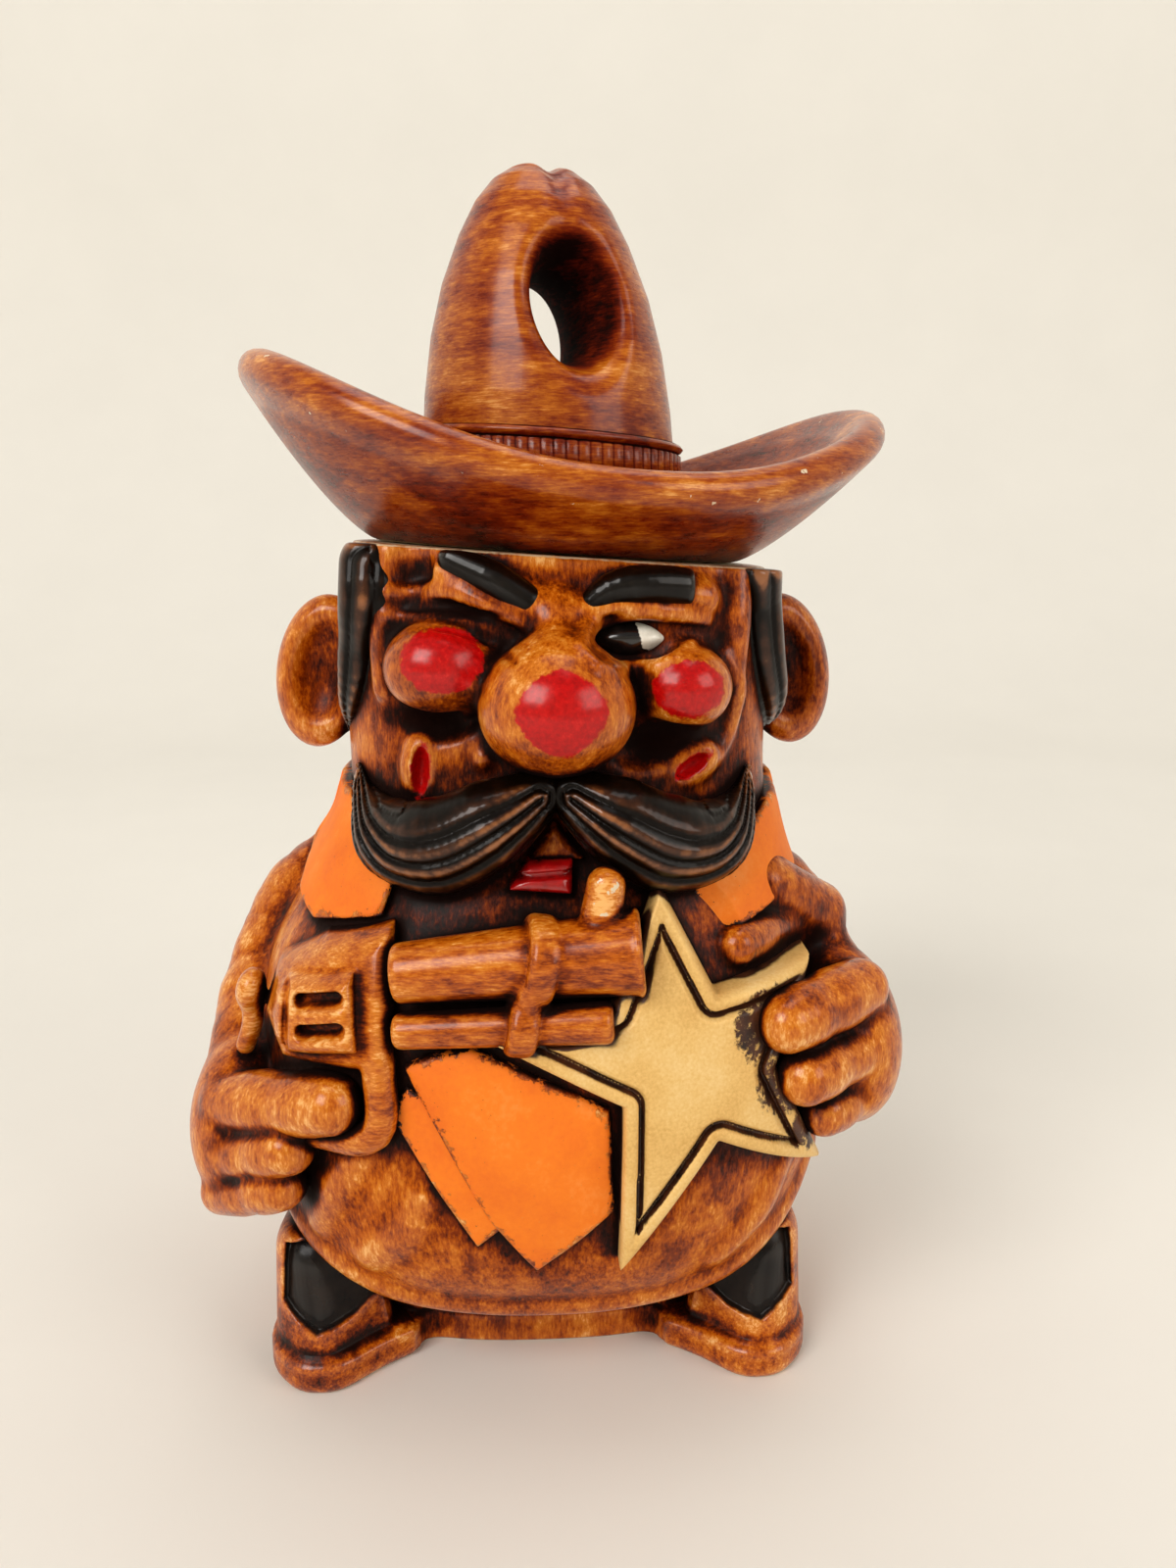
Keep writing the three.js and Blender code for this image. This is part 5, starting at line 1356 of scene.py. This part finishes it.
def sight_wear(points, normals):
    """The front of the sight is rubbed pale."""
    return 0.75 * (points[:, 2] > SIGHT_FOOT[2] + 2.5) * np.clip(-1.6 * normals[:, 1] - 0.5, 0, 1)


def applied_pieces(clay):
    """The pieces laid on the casting: the clay, the slot and the finish of each."""
    hair, brows, eye = ("black_glaze", HAIR), ("black_glaze", BROWS), ("black_glaze", EYE_GLAZE)
    orange, boots = ("orange_paint", ORANGE), ("brown_stain", BOOT)
    return {
        "right_moustache": (moustache(-1), *hair),
        "left_moustache": (moustache(1), *hair),
        "right_eyebrow": (brow(RIGHT_BROW, (3.6, 4.4, 4.2), 0), *brows),
        "left_eyebrow": (brow(LEFT_BROW, (3.4, 4.6, 4.8, 4.4), 35.6), *brows),
        "left_eye": (open_eye(clay), *eye),
        "lower_lip": (lip(), "red_glaze", RED),
        "right_sideburn": (sideburn(clay, RIGHT_SIDEBURN), *hair),
        "left_sideburn": (sideburn(clay, LEFT_SIDEBURN), *hair),
        "right_collar": (collar(RIGHT_COLLAR, -1), *orange),
        "left_collar": (collar(LEFT_COLLAR, 1), *orange),
        "kerchief_point_over": (cloth(POINT_OVER, 2.8, 1.2), *orange),
        "kerchief_point_under": (cloth(POINT_UNDER, 1.9), *orange),
        "star_badge": (piece_clay(laid(STAR, star_relief, 1.4)), "gold_paint", GOLD),
        "revolver": (revolver(), "brown_stain", GUN_STAIN),
        "right_boot": (boot(-1), *boots),
        "left_boot": (boot(1), *boots),
    }


def make_jar():
    """The casting and all that is laid on it."""
    clay = jar_clay()
    applied = applied_pieces(clay)
    remember(clay)
    for block, _, _ in applied.values():
        remember(block)
    casting = hollowed(mesh_object("jar_casting", *clay.skin()))
    points = points_of(casting)
    # the face's hollows get painted shade on top of the crease darkening
    note_creases(casting, clay.normals(points), hollow_shade=0.9 * hollow_shade_on(points))
    jar_paint(casting)
    place(casting, "jar", "brown_stain", JAR_STAIN, *CAST_NODES)
    for name, (block, slot, finish) in applied.items():
        piece = mesh_object("shaped_" + name, *block.skin())
        points = points_of(piece)
        normals = block.normals(points)
        note_creases(piece, normals, worn=sight_wear(points, normals) if name == "revolver" else 0.0)
        paint_marks(name, piece)
        place(piece, "jar", slot, finish, *(GUN_NODES if name == "revolver" else [name]))


# ---------------------------------------------------------------- making the hat
def hat_piece(name, points, faces, node):
    """A piece of the lid."""
    piece = mesh_object(name, on_the_seat(points), faces)
    return place(piece, "lid", "brown_stain", HAT, node)


def hat_notes(piece, crease, light_and_shade, edge, bare):
    """How the stain, its painted light and its painted shade lie on a piece of the hat, which has no red paint."""
    notes = {"crease": crease, "swell": light_and_shade, "edge": edge, "bare": bare, "red": UNPAINTED}
    for name, values in notes.items():
        note(piece, name, values * np.ones(len(piece.data.vertices)))


def make_brim():
    """The brim, with painted shade beside the crown and under it by the seat, and rubbed along its lip."""
    points, faces, share, top = brim_skin()
    brim = hat_piece("shaped_hat_brim", points, faces, "hat_brim")
    below = top < 0.5
    lip_edge = np.clip((share - 0.86) / 0.1, 0, 1)
    by_crown = np.clip(1 - (share + 0.3) / 0.3, 0, 1) * (top > 0.5)
    by_seat = np.clip(1 - share / 0.25, 0, 1) * below
    # painted shade beside the crown and on the underside by the seat
    light_and_shade = 0.02 - 0.12 * by_crown - 0.06 * by_seat
    hat_notes(brim, 0.7 * by_crown ** 2, light_and_shade, 0.35 * lip_edge, below & (share < 0))


def make_crown():
    """The crown, dark with painted shade at its foot, in its hollows and in the tunnel; bare inside."""
    clay = crown_clay()
    points, faces = clay.skin()
    crown = hat_piece("shaped_hat_crown", points, faces, "hat_crown")
    outward = clay.normals(points)
    x, y, z = points.T
    hollow = np.clip(1 - clay.at(points + 3.0 * outward) / 3.0, 0, 1)
    proud = np.clip(1 + clay.at(points - 2.0 * outward) / 2.0, 0, 1)
    foot = np.clip(1 - (z - CROWN_FOOT - 12) / 7, 0, 1)
    wall = tunnel_ring(x, y, z)
    tunnel = np.clip(1 - wall / 3, 0, 1) * np.clip((CROWN_RADIUS - 4 - np.abs(y)) / 12, 0, 1)
    inside = (np.hypot(x - crown_lean(z), y) < CROWN_RADIUS - 3.5) & (z < 40) & (wall > 3.4)
    # painted light on raised forms and painted shade in hollows
    light_and_shade = sum(0.5 * swell(clay, points, reach) for reach in CROWN_SWELL_REACH)
    # painted shade in hollows, at the foot and in the tunnel
    crease = np.max([0.5 * hollow, 0.4 * foot, 0.85 * tunnel], axis=0)
    hat_notes(crown, crease, np.clip(light_and_shade, -0.1, 0.07), 0.4 * proud, inside)


def make_band_and_ring():
    """The ribbed band, and the bare ring that centres the lid."""
    points, faces = hat_band()
    band = hat_piece("shaped_hat_band", points, faces, "hat_band")
    ribs = np.hypot(points[:, 0] - crown_lean(points[:, 2]), points[:, 1])
    # painted shade in the grooves between the ribs, and slightly darker overall
    hat_notes(band, np.clip((CROWN_RADIUS + 1.5 - ribs) / 0.6, 0, 1), -0.02, 0.1, 0.0)
    ring = hat_piece("shaped_locating_ring", *locating_ring(), "locating_ring")
    hat_notes(ring, 0.0, 0.02, 0.0, 1.0)


# ---------------------------------------------------------------- room, lights and camera
ROOM_RADIUS, ROOM_MIDDLE, ROOM_HEIGHT, ROOM_BEND = 2.9, -1.3, 3.2, 0.7  # a round sweep of pale board, open above
ROOM_SIDES = 128
# name, place, height aimed at, size, power and colour
LAMPS = (("window", (-1.5, -1.83, 1.9), 0.16, 1.5, 53, (1.0, 0.97, 0.93)),
         ("fill", (1.8, -1.3, 1.2), 0.16, 1.3, 16, (1.0, 0.96, 0.9)),
         ("top", (0.16, 0.3, 2.4), 0.2, 1.6, 16, (1.0, 0.98, 0.95)))
SKY_COLOUR, SKY_POWER = (1.0, 0.98, 0.95, 1), 0.25
LENS, SENSOR, CAMERA_PLACE, CAMERA_TURN = 27, 36, (-0.0045, -0.3351, 0.226), (77.8, 0, -3)


def room():
    """The pale floor, which curves up into the backdrop."""
    f = Finish("pale_floor")
    pale = f.ramp(f.noise(6.0, 3.0), (0.35, srgb(229, 226, 219)), (0.65, srgb(231, 228, 221)))
    finish = f.shine(Base_Color=pale, Roughness=0.7 + 0.1 * f.noise(40.0), IOR=1.3)
    bend = [(ROOM_RADIUS - ROOM_BEND * (1 - math.sin(a)), ROOM_BEND * (1 - math.cos(a)))
            for a in np.linspace(0, math.pi / 2, 20)]
    profile = [(0.02, 0.0), (1.0, 0.0)] + bend + [(ROOM_RADIUS, ROOM_HEIGHT)]
    angle = np.linspace(0, 2 * math.pi, ROOM_SIDES, endpoint=False)
    rings = [np.stack([r * np.cos(angle), r * np.sin(angle) + ROOM_MIDDLE, np.full(ROOM_SIDES, h)], axis=1)
             for r, h in profile]
    points, faces = closed_rings(np.array(rings))
    floor = mesh_object("floor", points[:-1] / MM, faces[:-ROOM_SIDES])  # without the lid over the last ring
    floor.data.materials.append(finish)


def soft_light(name, at, aim, size, power, colour):
    """A square lamp that points at a height over the origin."""
    data = bpy.data.lights.new(name, "AREA")
    data.shape, data.size, data.energy, data.color = "SQUARE", size, power, colour
    lamp = bpy.data.objects.new(name, data)
    lamp.location = at
    away = np.array(at) - (0, 0, aim)
    lamp.rotation_euler = (math.atan2(math.hypot(away[0], away[1]), away[2]), 0, math.atan2(away[0], -away[1]))
    bpy.context.scene.collection.objects.link(lamp)


def camera():
    data = bpy.data.cameras.new("camera")
    data.lens, data.sensor_width = LENS, SENSOR
    eye = bpy.data.objects.new("camera", data)
    eye.location = CAMERA_PLACE
    eye.rotation_euler = [math.radians(turn) for turn in CAMERA_TURN]
    bpy.context.scene.collection.objects.link(eye)
    bpy.context.scene.camera = eye


def sky():
    world = bpy.data.worlds.new("sky")
    world.use_nodes = True
    glow = world.node_tree.nodes["Background"].inputs
    glow["Color"].default_value, glow["Strength"].default_value = SKY_COLOUR, SKY_POWER
    bpy.context.scene.world = world


make_jar()
make_brim()
make_crown()
make_band_and_ring()
room()
sky()
camera()
for lamp in LAMPS:
    soft_light(*lamp)
bpy.context.scene.view_settings.view_transform = "Standard"
